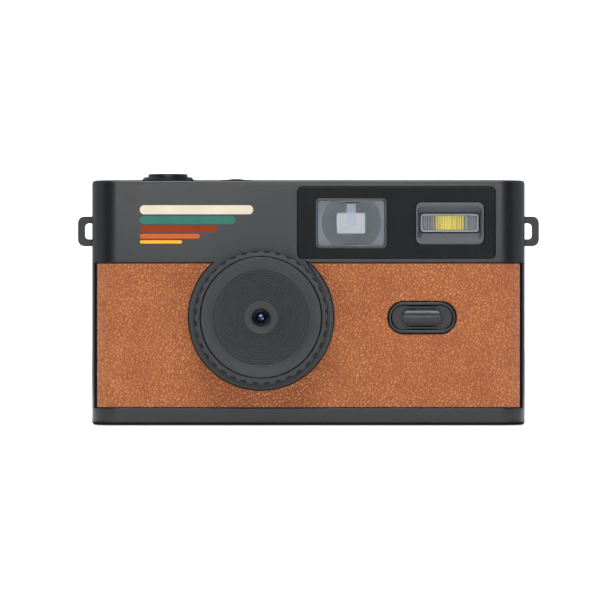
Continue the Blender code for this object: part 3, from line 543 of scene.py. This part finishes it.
CASE = plastic("case_plastic", (0.0085, 0.0102, 0.0128), 0.32)
LENS_BLACK = plastic("lens_plastic", (0.0135, 0.0156, 0.0185), 0.42, 0.000006)
TRIM = plastic("trim_plastic", (0.009, 0.0097, 0.0108), 0.3, 0.000003)
INNER = plastic("inner_plastic", (0.012, 0.012, 0.013), 0.7, 0.00001)
PANEL = plastic("panel_gloss", (0.0078, 0.0088, 0.01), 0.1, 0.0000005, rough_spread=0.03)
LEATHER = leather("brown_leather")
mute(CASE, 0.5)
mute(LENS_BLACK, 0.5)
mute(PANEL, 0.25)
mute(TRIM, 0.45)
STEEL = metal("steel", (0.5, 0.5, 0.51), 0.34)
CHROME = metal("reflector_metal", (0.86, 0.86, 0.87), 0.14, (30, 1, 1))
BRASS = metal("brass_contact", (0.65, 0.45, 0.18), 0.3)
CLEAR = clear("clear_plastic", (0.93, 0.97, 1.0))
SMOKED = clear("counter_dome_plastic", (0.34, 0.33, 0.31), 0.12, 0.45)
FOAM = plastic("foam_seal", (0.012, 0.012, 0.012), 0.95, 0.00012, 2600.0)
DIAL_WHITE = plastic("dial_plastic", (0.75, 0.75, 0.72), 0.45)
BOARD = plastic("circuit_board", (0.02, 0.13, 0.05), 0.35, 0.00001, 900.0, 0.2)
SLEEVE = plastic("capacitor_sleeve", (0.02, 0.022, 0.05), 0.25, 0.000003)
JACKET = plastic("cell_jacket", (0.08, 0.09, 0.1), 0.22, 0.000002)
TAPE = plastic("transformer_wrap", (0.55, 0.38, 0.08), 0.4, 0.00001, 1500.0)
BORDER = plastic("finder_border_plastic", (0.036, 0.038, 0.041), 0.35, 0.000002)
MIST = plastic("finder_mask_plastic", (0.4, 0.425, 0.465), 0.4, 0.000002)
HORN = plastic("finder_horn_plastic", (0.42, 0.44, 0.475), 0.45, 0.000002)
HORN_DARK = plastic("flash_surround_plastic", (0.062, 0.068, 0.077), 0.42, 0.000002)
FROST = plastic("flash_frame_plastic", (0.22, 0.235, 0.265), 0.22, 0.000001)
# Painted glow: the bright frame seen through the finder, standing in for light coming in through the
# eyepiece.
FINDER_VIEW_PAINTED_GLOW = painted_glow("finder_view_painted_glow", (0.62, 0.62, 0.63), 0.62)
# Painted reflection: a faint see-through glow for the reflection seen inside the finder tunnel.
PAINTED_FINDER_GLINT = painted_glow("finder_painted_glint", (0.55, 0.62, 0.7), 0.3, 0.2, 0.45)
AMBER = amber()
COATED_GLASS_PAINTED_GLINTS = coated()
# Painted shade: a brownish black for the band seen in the ring's notches, standing in for their shade, with
# a painted reflection of the leather in its brown tint.
NOTCH_PAINTED_SHADE = plastic("notch_painted_shade", (0.012, 0.0085, 0.007), 0.75, 0.00001)
CREAM = ink("print_cream", (0.68, 0.6, 0.47))
TEAL = ink("print_teal", (0.035, 0.16, 0.125))
RUST = ink("print_rust", (0.26, 0.032, 0.002))
ORANGE = ink("print_orange", (0.55, 0.105, 0.02))
YELLOW = ink("print_yellow", (0.95, 0.42, 0.012))

# What every material slot of the record looks like.
SLOT_FINISH = {
    "body_plastic": CASE,
    "lens_plastic": LENS_BLACK,
    "trim_plastic": TRIM,
    "inner_plastic": INNER,
    "panel_gloss": PANEL,
    "brown_leather": LEATHER,
    "clear_plastic": CLEAR,
    "steel": STEEL,
    "reflector_metal": CHROME,
    "brass_contact": BRASS,
    "dial_plastic": DIAL_WHITE,
    "cell_jacket": JACKET,
    "capacitor_sleeve": SLEEVE,
    "circuit_board": BOARD,
    "transformer_wrap": TAPE,
    "foam_seal": FOAM,
}


# ---------------------------------------------------------------- casings


def case_shell(name):
    """The whole rounded case as a thin shell, which each casing is cut from."""
    low, high = (-HALF_WIDTH, FRONT, 0.0), (HALF_WIDTH, BACK, HEIGHT)
    shell = block(name, low, high, CORNER, "Z", 24, RIM, 5)
    inner_low = (-HALF_WIDTH + WALL, FRONT + WALL, WALL)
    inner_high = (HALF_WIDTH - WALL, BACK - WALL, HEIGHT - WALL)
    cut(shell, block("cavity", inner_low, inner_high, CORNER - WALL, "Z", 16))
    return shell


def lug_pockets():
    tools = []
    for node in ("strap_lug_left", "strap_lug_right"):
        low, high = corners(node)
        sign = -1 if low.x < 0 else 1
        ends = sorted((sign * 50.5, sign * 60.0))
        bar = 1.8
        for z_low, z_high in ((low.z, low.z + bar), (high.z - bar, high.z)):
            a = (ends[0], low.y - GAP, z_low - GAP)
            b = (ends[1], high.y + GAP, z_high + GAP)
            tools.append(block("pocket", a, b, 0.5, "X", 4))
    return tools


def front_cover():
    cover = case_shell("front_casing")
    cut(cover, block("split", (-FAR, PARTING_Y, TRAY_Z), (FAR, FAR, FAR)))
    recess = sheet(
        "recess",
        front_path(RECESS / 2 - 1.0, 65.0),
        LEATHER_LOW.z - GAP,
        LEATHER_HIGH.z + GAP,
        RECESS + 2.0,
    )
    lens_spot = (LENS.x, LENS.z)
    cut(recess, cylinder("boss", BOSS_RADIUS, -30.0, 0.0, lens_spot, "Y", 160))
    cut(cover, recess)
    cut(
        cover,
        panel("window", PANEL_LOW, PANEL_HIGH, -20.0, -12.3, 1.45, 0.12),
        panel("finder", FINDER_LOW, FINDER_HIGH, AHEAD, INSIDE, 1.0, 0.4),
        panel("flash", FLASH_LOW, FLASH_HIGH, AHEAD, INSIDE, 1.6, 0.4),
        panel("switch", SWITCH_LOW, SWITCH_HIGH, AHEAD, INSIDE, 4.0, 0.12, 20),
        cylinder("barrel", 15.4, AHEAD, INSIDE, lens_spot, "Y", 128),
        cylinder("collar", 6.6, 58.0, 70.0, (BUTTON.x, BUTTON.y)),
        cylinder("counter", 3.55, 58.0, 70.0, (COUNTER.x, COUNTER.y)),
    )
    fuse(cover, cylinder("dial_post", 1.1, 56.4, 60.9, (DIAL.x, DIAL.y), sides=32))
    spot = (CRANK.x, CRANK.y)
    fuse(cover, cylinder("cup", 10.2, 0.95, 4.4, spot))
    cut(cover, cylinder("cup_room", 9.0, -2.0, 3.2, spot), cylinder("bore", 2.3, 2.0, 8.0, spot, sides=32))
    for i in range(1, 5):
        screw = middle("case_screw_%d" % i)
        where = (screw.x, screw.y)
        fuse(cover, cylinder("screw_boss", 3.0, 1.0, 4.2, where, sides=32))
        cut(
            cover,
            cylinder("head_room", 2.0, -1.0, 1.6, where, sides=40),
            cylinder("shank_room", 1.15, 1.0, 6.0, where, sides=24),
        )
    hatch_low = (HATCH_LOW.x - GAP, HATCH_LOW.y - GAP, -2.0)
    hatch_high = (HATCH_HIGH.x + GAP, HATCH_HIGH.y + GAP, 2.6)
    cut(
        cover,
        block("hatch_room", hatch_low, hatch_high, 4.6),
        block("hatch_hinge_room", (hatch_low[0] + 4.7, *hatch_low[1:]), hatch_high, 0.6),
        cylinder("release_room", 2.5, -2.0, 3.0, (RELEASE.x, RELEASE.y), sides=40),
        *lug_pockets(),
    )
    soften(cover, 0.12, 2)
    return keep(cover, CASE, "case", ["front_cover"])


def wheel_slot():
    return cylinder("wheel_slot", 13.4, WHEEL.z - 2.1, WHEEL.z + 2.1, (WHEEL.x, WHEEL.y), sides=128)


def hinge_room():
    return cylinder("hinge_room", KNUCKLE_ROOM, 9.6, 42.4, (HINGE.x, HINGE.y), sides=40)


def add_knuckles(casing, heights, web_low, web_high):
    """Hinge knuckles at some heights, each on a web between two places in X, and the pin's bore."""
    spot = (HINGE.x, HINGE.y)
    for low, high in heights:
        fuse(
            casing,
            cylinder("knuckle", KNUCKLE_RADIUS, low, high, spot, sides=40),
            block("web", (web_low, 16.9, low), (web_high, 17.95, high)),
        )
    cut(casing, cylinder("pin_bore", PIN_BORE, 5.0, 45.0, spot, sides=32))


def rear_cover():
    cover = case_shell("rear_casing")
    cut(
        cover,
        block("split", (-FAR, -FAR, -FAR), (FAR, REAR_LOW.y, FAR)),
        block("tray", (-FAR, 0.0, -FAR), (FAR, FAR, TRAY_Z + GAP)),
        block("door_room", (DOOR_LEFT - GAP, 0.0, -1.0), (FAR, FAR, DOOR_HIGH.z + GAP), 1.2, "Y", 8),
        hinge_room(),
        wheel_slot(),
        panel("eye_room", EYE_LOW, EYE_HIGH, 10.0, 25.0, 1.5, 0.3),
    )
    scoop = new_object("scoop", uv_ball(9.5))
    scoop.scale = (1.5, 0.26, 0.86)
    scoop.location = Vector((WHEEL.x, BACK + 0.9, WHEEL.z)) * MM
    cut(cover, scoop)
    cut(cover, wheel_slot())
    add_knuckles(cover, ((10.0, 15.0), (37.0, 42.0)), HINGE.x - 3.4, HINGE.x)
    soften(cover, 0.12, 2)
    return keep(cover, CASE, "case", ["rear_cover"])


def back_door():
    door = case_shell("door_casing")
    cut(
        door,
        block("split", (-FAR, -FAR, -FAR), (FAR, DOOR_LOW.y, FAR)),
        block("tray", (-FAR, 0.0, -FAR), (FAR, FAR, DOOR_LOW.z)),
        block("lid", (-FAR, 0.0, DOOR_HIGH.z), (FAR, FAR, FAR)),
        block("left", (-FAR, 0.0, -1.0), (DOOR_LEFT, FAR, FAR)),
        hinge_room(),
        panel("skin_room", REAR_SKIN_LOW, REAR_SKIN_HIGH, BACK - RECESS, 30.0, 2.35, 0.12),
        block("latch_slot", (51.0, 9.2, 20.0), (60.0, 13.8, 31.0)),
    )
    add_knuckles(door, ((15.4, 20.4), (31.6, 36.6)), HINGE.x, HINGE.x + 3.4)
    soften(door, 0.12, 2)
    return keep(door, CASE, "door", ["back_door"])


def skins():
    front = sheet("leather_wrap", front_path(0.28, 51.7), LEATHER_LOW.z, LEATHER_HIGH.z, 0.64)
    cut(
        front,
        cylinder("boss", 18.6, -30.0, 0.0, (LENS.x, LENS.z), "Y", 160),
        panel("switch", SWITCH_LOW, SWITCH_HIGH, -20.0, -5.0, 4.1, 0.25, 20),
    )
    soften(front, 0.16, 3)
    keep(front, LEATHER, "case", ["leather_front"])
    rear = panel("leather_back", REAR_SKIN_LOW, REAR_SKIN_HIGH, REAR_SKIN_LOW.y, REAR_SKIN_HIGH.y, 2.2)
    soften(rear, 0.16, 3)
    keep(rear, LEATHER, "door", ["leather_rear"])


# ---------------------------------------------------------------- finder and flash


def window_panel():
    plate = panel("window_plate", PANEL_LOW, PANEL_HIGH, FRONT - 0.05, -12.6, 1.3)
    low, high = FINDER_LOW, FINDER_HIGH
    cut(
        plate,
        panel("finder_hole", low, high, AHEAD, INSIDE, 1.1, 0.68),
        panel("flash_hole", FLASH_LOW, FLASH_HIGH, AHEAD, INSIDE, 1.5, 0.12),
    )
    border = panel("finder_border", low, high, FRONT - 0.1, -12.7, 1.1, 0.64)
    cut(border, panel("view", low, high, AHEAD, INSIDE, 0.6, 0.05))
    soften(border, 0.18, 3)
    keep(border, BORDER, "case")
    soften(plate, 0.08, 2)
    keep(plate, PANEL, "case", ["window_panel"])


def widen(obj, y_edge, grow):
    """Moves a plate's front rim outwards in X and Z, so that its sides slope."""
    coords = [v.co for v in obj.data.vertices]
    mid_x = sum(c.x for c in coords) / len(coords)
    mid_z = sum(c.z for c in coords) / len(coords)
    for v in obj.data.vertices:
        if v.co.y < y_edge * MM:
            v.co.x += math.copysign(grow * MM, v.co.x - mid_x)
            v.co.z += math.copysign(grow * MM, v.co.z - mid_z)


def taper(obj, y_edge, box):
    """Fits the end of a plate behind y_edge to a smaller box in X and Z."""
    low, high = box
    verts = [v for v in obj.data.vertices if v.co.y > y_edge * MM]
    x_low, x_high = min(v.co.x for v in verts), max(v.co.x for v in verts)
    z_low, z_high = min(v.co.z for v in verts), max(v.co.z for v in verts)
    for v in verts:
        v.co.x = (low[0] + (high[0] - low[0]) * (v.co.x - x_low) / (x_high - x_low)) * MM
        v.co.z = (low[2] + (high[2] - low[2]) * (v.co.z - z_low) / (z_high - z_low)) * MM


def finder():
    glass = panel("finder_glass", FINDER_LOW, FINDER_HIGH, -12.15, -11.85, 0.8)
    soften(glass, 0.06, 2)
    keep(glass, CLEAR, "case", ["viewfinder_objective"])
    mask = panel("finder_mask", FINDER_LOW, FINDER_HIGH, -11.7, -11.3, 0.8)
    cut(mask, cylinder("round", 7.72, -20.0, 0.0, (FINDER_X, FINDER_Z), "Y", 128))
    keep(mask, MIST, "case", sharp=30)

    low, high = corners("viewfinder_tunnel")
    shell = panel("finder_horn", low, high, low.y, high.y, 0.6)
    back = ((FINDER_X - 4.8, 0, FINDER_Z - 3.7), (FINDER_X + 4.8, 0, FINDER_Z + 3.7))
    taper(shell, 0.0, back)
    room = cylinder("room", 7.6, -12.0, -9.6, (FINDER_X, FINDER_Z), "Y", 96)
    combine(room, "INTERSECT", [panel("room_edge", low, high, -20.0, 10.0, 0.6, -0.25)])
    cut(shell, room)
    bowl = cylinder("bowl", 7.58, -9.9, 3.0, (FINDER_X, FINDER_Z), "Y", 96, 2.0)
    inner = panel("bowl_end", *EYE_IMAGE, -6.0, 3.0, 0.3)
    combine(bowl, "INTERSECT", [panel("bowl_edge", low, high, -20.0, 10.0, 0.6, -0.3)])
    cut(shell, bowl, inner)
    through = panel("through", *EYE_IMAGE, -3.0, 16.0, 0.3)
    taper(through, 5.0, ((7.4, 0, 49.4), (14.4, 0, 53.6)))
    cut(shell, through)
    keep(shell, HORN, "case", ["viewfinder_tunnel"], sharp=30)

    # Painted glow: an emissive plate for the bright frame seen through the finder, standing in for light
    # coming in through the eyepiece.
    image = panel("finder_view_painted_glow_plate", *EYE_IMAGE, 2.2, 2.6, 0.3, -0.15)
    keep(image, FINDER_VIEW_PAINTED_GLOW, "case", sharp=30)
    # Painted reflection: a faint tapered see-through plate that glows, standing in for the tunnel's
    # reflection behind the finder glass.
    glint = panel("finder_painted_reflection_plate", (9.65, 0, 50.6), (12.0, 0, 56.1), -11.2, -11.05, 0.3)
    for v in glint.data.vertices:
        share = (v.co.z / MM - 50.6) / 5.5
        v.co.x = (10.83 + (v.co.x / MM - 10.83) * (1.08 - 0.16 * share)) * MM
    keep(glint, PAINTED_FINDER_GLINT, "case", sharp=30)

    eye = panel("eyepiece_glass", *corners("viewfinder_eyepiece"), 15.2, 16.0, 0.8)
    soften(eye, 0.1, 2)
    keep(eye, CLEAR, "case", ["viewfinder_eyepiece"])
    rim = panel("eyepiece_frame", EYE_LOW, EYE_HIGH, EYE_LOW.y, EYE_HIGH.y, 1.4)
    cut(
        rim,
        panel("seat", EYE_LOW, EYE_HIGH, 10.0, 16.6, 0.9, -0.9),
        panel("view", EYE_LOW, EYE_HIGH, 10.0, 30.0, 0.9, -1.7),
    )
    soften(rim, 0.3, 4)
    keep(rim, TRIM, "case", ["eyepiece_bezel"])


def flash():
    bezel = panel("flash_surround", FLASH_LOW, FLASH_HIGH, FLASH_LOW.y, FLASH_HIGH.y, 1.5)
    funnel = panel("funnel", FLASH_LOW, FLASH_HIGH, -14.2, -11.7, 1.4, -0.35)
    widen(funnel, -13.0, 0.12)
    taper(funnel, -13.0, ((BAR_LOW.x - 0.2, 0, BAR_LOW.z - 0.2), (BAR_HIGH.x + 0.2, 0, BAR_HIGH.z + 0.2)))
    cut(bezel, funnel, panel("bar_room", BAR_LOW, BAR_HIGH, -14.0, -5.0, 0.9, 0.2))
    soften(bezel, 0.1, 2)
    keep(bezel, HORN_DARK, "case", ["flash_bezel"])

    frame_ring = panel("flash_lens_frame", BAR_LOW, BAR_HIGH, -12.0, -9.9, 0.85)
    cut(frame_ring, panel("inside", BAR_LOW, BAR_HIGH, -20.0, -5.0, 0.5, -0.5))
    soften(frame_ring, 0.14, 3)
    keep(frame_ring, FROST, "case")

    ribs, each = 22, 8
    x_low, x_high = BAR_LOW.x + 0.6, BAR_HIGH.x - 0.6
    front = []
    for i in range(ribs * each + 1):
        share = i / (ribs * each)
        wave = abs(math.sin(math.pi * ribs * share))
        front.append((x_low + (x_high - x_low) * share, -11.45 - 0.28 * wave))
    bm = bmesh.new()
    loop = front + [(x_high, -10.4), (x_low, -10.4)]
    face = bm.faces.new([bm.verts.new((x * MM, y * MM, (BAR_LOW.z + 0.6) * MM)) for x, y in loop])
    raised = bmesh.ops.extrude_face_region(bm, geom=[face])
    lifted = [v for v in raised["geom"] if isinstance(v, bmesh.types.BMVert)]
    bmesh.ops.translate(bm, vec=(0, 0, (BAR_HIGH.z - BAR_LOW.z - 1.2) * MM), verts=lifted)
    rib_plate = from_bmesh("flash_ribbed_lens", bm)
    keep(rib_plate, AMBER, "case", ["flash_lens"], sharp=50)


def flash_switch():
    rim = panel("switch_surround", SWITCH_LOW, SWITCH_HIGH, SWITCH_LOW.y, SWITCH_HIGH.y, 3.9, segments=24)
    cut(rim, panel("pocket", SWITCH_LOW, SWITCH_HIGH, -20.0, -12.6, 3.1, -0.8, 24))
    centre = (KNOB_LOW + KNOB_HIGH) / 2
    slot_low, slot_high = (centre.x - 4.5, 0, centre.z - 1.2), (centre.x + 4.5, 0, centre.z + 1.2)
    cut(rim, panel("slot", slot_low, slot_high, -15.0, -9.0, 1.1))
    soften(rim, 0.28, 4)
    keep(rim, TRIM, "case", ["switch_bezel"])

    flange = panel("slider", KNOB_LOW, KNOB_HIGH, -13.3, -12.9, 2.8, segments=20)
    soften(flange, 0.12, 3)
    keep(flange, CASE, "switch", ["flash_switch"])
    cap = panel("slider_cap", KNOB_LOW, KNOB_HIGH, -14.6, -13.25, 2.2, -0.45, 20)
    combine(cap, "INTERSECT", [cylinder("dome", 2.85, 20.0, 40.0, (-11.75, centre.z), "X", 128)])
    soften(cap, 0.2, 4)
    keep(cap, CASE, "switch")
    shapes = (("slider_stem", 2.0, 0.85, -13.0, -10.6), ("slider_foot", 2.6, 2.2, -11.15, -10.4))
    for name, half_x, half_z, y_low, y_high in shapes:
        low = (centre.x - half_x, y_low, centre.z - half_z)
        high = (centre.x + half_x, y_high, centre.z + half_z)
        piece = block(name, low, high)
        soften(piece, 0.1, 2)
        keep(piece, CASE, "switch")


# ---------------------------------------------------------------- lens


def lens():
    spot = (LENS.x, 0.0, LENS.z)
    steps = [(15.1, 17.2), (15.26, 19.3), (15.1, 19.42), (12.1, 19.42)]
    grooves, outer, inner = 14, 11.85, 4.4
    pitch = (outer - inner) / (grooves - 1)
    for i in range(grooves):
        radius = outer - pitch * i
        depth = 19.38 - 1.15 * (i / (grooves - 1)) ** 1.15
        steps += [(radius + 0.16, depth), (radius + 0.14, depth - 0.6), (radius - 0.1, depth - 0.6)]
        steps += [(radius - 0.17, depth - 0.05)]
    steps += [(2.75, 18.2), (2.35, 18.05), (1.3, 14.3), (1.6, 13.7), (3.4, 13.7), (4.2, 16.2)]
    face = turned("lens_front_disc", steps, spot, 192, True, True)
    keep(face, LENS_BLACK, "case", ["lens_face"], sharp=28)

    teeth, per = 36, 12
    bm = bmesh.new()
    outline = []
    crest, floor, crest_share = 16.95, 16.4, 0.42
    for i in range(teeth):
        for j in range(per):
            share = j / per
            angle = 2 * math.pi * (i + share - 0.2) / teeth
            outline.append((angle, crest if share < crest_share else floor))
    layers = ((15.42, 13.8, False), (16.7, 13.8, True), (16.95, 14.1, True), (16.95, 19.2, True))
    layers += ((16.75, 19.42, True), (16.2, NOSE - 0.02, False), (15.55, NOSE - 0.02, False))
    layers += ((15.42, 19.35, False),)
    loops = []
    for radius, height, toothed in layers:
        loop = []
        for angle, reach_out in outline:
            r = min(radius, reach_out) if toothed else radius
            where = (LENS.x + r * math.cos(angle), -height, LENS.z + r * math.sin(angle))
            loop.append(bm.verts.new(Vector(where) * MM))
        loops.append(loop)
    count = len(outline)
    for a, b in zip(loops, loops[1:] + loops[:1]):
        for i in range(count):
            bm.faces.new((a[i], a[(i + 1) % count], b[(i + 1) % count], b[i]))
    ring = from_bmesh("knurled_ring", bm)
    keep(ring, LENS_BLACK, "ring", ["lens_ring"], sharp=25)

    # A dark band behind the ring's notches: painted shade in the notches, tinted brown as a painted
    # reflection of the leather.
    notch_shade_outline = [(16.2, 14.2), (16.86, 14.2), (16.86, 18.9), (16.2, 18.9)]
    band = turned("ring_notch_painted_shade_band", notch_shade_outline, spot, 96, True, True)
    keep(band, NOTCH_PAINTED_SHADE, "ring", sharp=30)

    outline = [(15.1, 16.9), (15.1, 11.4), (17.0, 11.4), (17.0, 10.3), (12.0, 10.3), (12.0, 12.2)]
    outline += [(3.0, 12.2), (3.0, 13.4), (13.6, 13.4), (13.6, 16.9)]
    barrel = turned("lens_mount", outline, spot, 96, True, True)
    soften(barrel, 0.1, 2)
    keep(barrel, INNER, "case", ["lens_barrel"])

    dome = [(0.0, 13.6), (0.5, 13.57), (1.0, 13.48), (1.5, 13.35), (2.1, 13.1), (2.7, 12.8), (2.7, 12.4)]
    glass = turned("front_element", dome + [(0.0, 12.4)], spot, 64, True)
    # The front element's two blue patches are painted reflections in its material.
    keep(glass, COATED_GLASS_PAINTED_GLINTS, "case", ["front_lens"], sharp=40)


# ---------------------------------------------------------------- top plate


def top_controls():
    spot = (BUTTON.x, BUTTON.y, 0.0)
    collar = [(5.3, 62.85), (5.4, 63.0), (6.0, 63.0), (6.14, 62.92), (6.62, 62.3), (6.6, 62.12)]
    collar += [(6.3, 62.12), (6.3, 60.6), (5.3, 60.6)]
    ring = turned("button_collar", collar, spot, 128, closed=True)
    keep(ring, TRIM, "case", ["shutter_collar"], sharp=40)
    top = [(0.0, 63.45), (1.5, 63.48), (3.0, 63.6), (4.0, 63.76), (4.6, 63.8), (4.9, 63.76), (5.04, 63.62)]
    top += [(5.06, 63.1), (5.06, 61.2), (1.8, 61.2), (1.8, 55.7), (0.0, 55.7)]
    button = turned("release_button", top, spot, 128)
    keep(button, CASE, "button", ["shutter_button"], sharp=40)

    dome = [(0.0, 62.6), (0.9, 62.57), (1.8, 62.47), (2.6, 62.32), (3.1, 62.15), (3.35, 61.9), (3.4, 61.4)]
    window = turned("counter_dome", dome + [(3.4, 60.8), (0.0, 60.8)], (COUNTER.x, COUNTER.y, 0.0), 96)
    keep(window, SMOKED, "case", ["counter_window"], sharp=60)
    rim = [(3.45, 62.32), (3.85, 62.32), (4.0, 62.12), (3.45, 62.12)]
    edge = turned("counter_rim", rim, (COUNTER.x, COUNTER.y, 0.0), 96, closed=True)
    keep(edge, TRIM, "case", sharp=40)

    # A mark for every turn of the sprocket, which is two frames, and a number for every twelve frames to 72.
    places, numbered_every, last_numbered = 40, 6, 36
    for i in range(places):
        turn = 2 * math.pi * i / places
        centre = Vector((DIAL.x, DIAL.y, 58.6)) * MM
        out = Vector((math.cos(turn), math.sin(turn), 0.0))
        if i % numbered_every == 0 and i <= last_numbered:
            text = bpy.data.curves.new("dial_number_%02d" % i, "FONT")
            text.body = str(i * 2)
            text.size = 1.5 * MM
            text.align_x = "CENTER"
            text.align_y = "CENTER"
            text.extrude = 0.03 * MM
            mark = new_object("dial_number_%02d" % i, text)
            mark.location = centre + out * 5.3 * MM
            mark.rotation_euler = (0.0, 0.0, turn + math.pi / 2)
        else:
            mark = block("dial_mark_%02d" % i, (-0.35, -0.07, 0.0), (0.35, 0.07, 0.05))
            mark.location = centre + out * 6.2 * MM
            mark.rotation_euler = (0.0, 0.0, turn)
        mark.data.materials.append(TRIM)
        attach(mark, "dial")


def stripes():
    """Plain coloured bars of falling length, raised a little on the upper left of the front."""
    left, z, gap = -42.7, 55.7, 0.45
    rows = (
        (28.7, 2.3, CREAM),
        (24.2, 2.0, TEAL),
        (19.7, 1.6, RUST),
        (15.2, 1.2, ORANGE),
        (10.7, 0.8, YELLOW),
    )
    for i, (length, height, finish) in enumerate(rows):
        bar_low = (left, 0, z - height)
        bar_high = (left + length, 0, z)
        bar = panel("stripe_%d" % (i + 1), bar_low, bar_high, FRONT - 0.03, FRONT + 0.2, height * 0.48)
        keep(bar, finish, "case", sharp=30)
        z -= height + gap


# ---------------------------------------------------------------- assembly


front_cover()
rear_cover()
back_door()
skins()
window_panel()
finder()
flash()
flash_switch()
lens()
top_controls()
stripes()

# Every CAD node gets the finish of its slot, and those that are still drawn get fine edges.
for entry in frame["record"]["subparts"]:
    obj = frame["nodes"][entry["node"]]
    obj.data.materials.clear()
    obj.data.materials.append(SLOT_FINISH[entry["material_slot"]])
    if obj.hide_render:
        continue
    edge = obj.modifiers.new("edges", "BEVEL")
    edge.width = 0.06 * MM
    edge.segments = 2
    edge.limit_method = "ANGLE"
    edge.angle_limit = math.radians(40)


# ---------------------------------------------------------------- studio


def studio():
    """The camera, the lit surroundings, the cards and the lamps."""
    scene = bpy.context.scene
    scene.view_settings.view_transform = "Standard"
    centre = Vector((-2.15, 0.0, 31.7)) * MM
    camera = bpy.data.cameras.new("camera")
    distance, width, sensor = 1.6, 0.1519, 36.0
    camera.sensor_width = sensor
    camera.lens = sensor * (distance + FRONT * MM) / width
    camera.clip_start = 0.05
    camera.clip_end = 50.0
    view = new_object("camera", camera)
    view.location = centre + Vector((0.0, -distance, 0.0))
    view.rotation_euler = (math.pi / 2, 0.0, 0.0)
    scene.camera = view

    world = bpy.data.worlds.new("studio")
    scene.world = world
    world.use_nodes = True
    world.node_tree.nodes["Background"].inputs["Color"].default_value = (1.0, 1.0, 1.0, 1.0)
    world.node_tree.nodes["Background"].inputs["Strength"].default_value = 0.28

    bm = bmesh.new()
    bmesh.ops.create_grid(bm, x_segments=1, y_segments=1, size=6.0)
    floor = from_bmesh("floor", bm)
    floor.location.z = -0.0002
    paper, shader, tree = shader_of("floor_paper", (0.9, 0.9, 0.9), 0.9)
    side = add(tree, "ShaderNodeNewGeometry")
    under = add(tree, "ShaderNodeBsdfTransparent")
    either = add(tree, "ShaderNodeMixShader")
    tree.links.new(side.outputs["Backfacing"], either.inputs["Fac"])
    tree.links.new(shader.outputs["BSDF"], either.inputs[1])
    tree.links.new(under.outputs["BSDF"], either.inputs[2])
    tree.links.new(either.outputs["Shader"], tree.nodes["Material Output"].inputs["Surface"])
    shader.inputs["Emission Color"].default_value = (1.0, 1.0, 1.0, 1.0)
    shader.inputs["Emission Strength"].default_value = 0.52
    floor.data.materials.append(paper)

    glowing, shader, _ = shader_of("backdrop_paper", (0.9, 0.9, 0.9), 0.9)
    shader.inputs["Emission Color"].default_value = (1.0, 1.0, 1.0, 1.0)
    shader.inputs["Emission Strength"].default_value = 1.0
    backdrop = block("backdrop", (-3500.0, 2500.0, -100.0), (3500.0, 2520.0, 3000.0))
    backdrop.data.materials.append(glowing)

    # Cards that only reflections see: black ones give the rounded edges their dark lines, grey ones
    # round the sides and back keep the backdrop out of the edges, and a lit one faces the front.
    flags = (
        ("flag_left", (-102.0, -154.0, 2.0), (-98.0, -41.0, 250.0), 0.0),
        ("flag_right", (98.0, -154.0, 2.0), (102.0, -41.0, 250.0), 0.0),
        ("flag_under", (-60.0, -15.2, -0.12), (60.0, 30.0, -0.06), 0.0),
        ("flag_top", (-300.0, -90.0, 250.0), (300.0, 300.0, 254.0), 0.0),
        ("card_left", (-106.0, -40.0, 2.0), (-102.0, 300.0, 250.0), 0.48),
        ("card_right", (102.0, -40.0, 2.0), (106.0, 300.0, 250.0), 0.48),
        ("card_back", (-102.0, 296.0, 2.0), (102.0, 300.0, 250.0), 0.02),
        ("card_front", (-800.0, -2204.0, 2.0), (800.0, -2200.0, 900.0), 0.54),
    )
    for name, low, high, light in flags:
        cloth, shader, _ = shader_of(name + "_cloth", (0.003, 0.003, 0.003), 1.0)
        shader.inputs["Emission Color"].default_value = (0.92, 0.98, 1.06, 1.0)
        shader.inputs["Emission Strength"].default_value = light
        flag = block(name, low, high)
        flag.data.materials.append(cloth)
        flag.visible_camera = False
        flag.visible_diffuse = False
        flag.visible_shadow = False
        flag.visible_transmission = False

    def lamp(name, place, size, power):
        light = bpy.data.lights.new(name, "AREA")
        light.shape = "RECTANGLE"
        light.size, light.size_y = size
        light.energy = power
        obj = new_object(name, light)
        obj.location = place
        obj.rotation_euler = (centre - Vector(place)).to_track_quat("-Z", "Y").to_euler()

    lamp("key", (-0.02, -0.42, 0.85), (0.4, 0.3), 6.05)
    lamp("fill", (0.02, -1.2, 0.3), (0.3, 0.3), 2.0)
    lamp("rim_left", (-0.34, 0.16, 0.12), (0.12, 0.3), 0.35)
    lamp("rim_right", (0.34, 0.16, 0.12), (0.12, 0.3), 0.35)


studio()
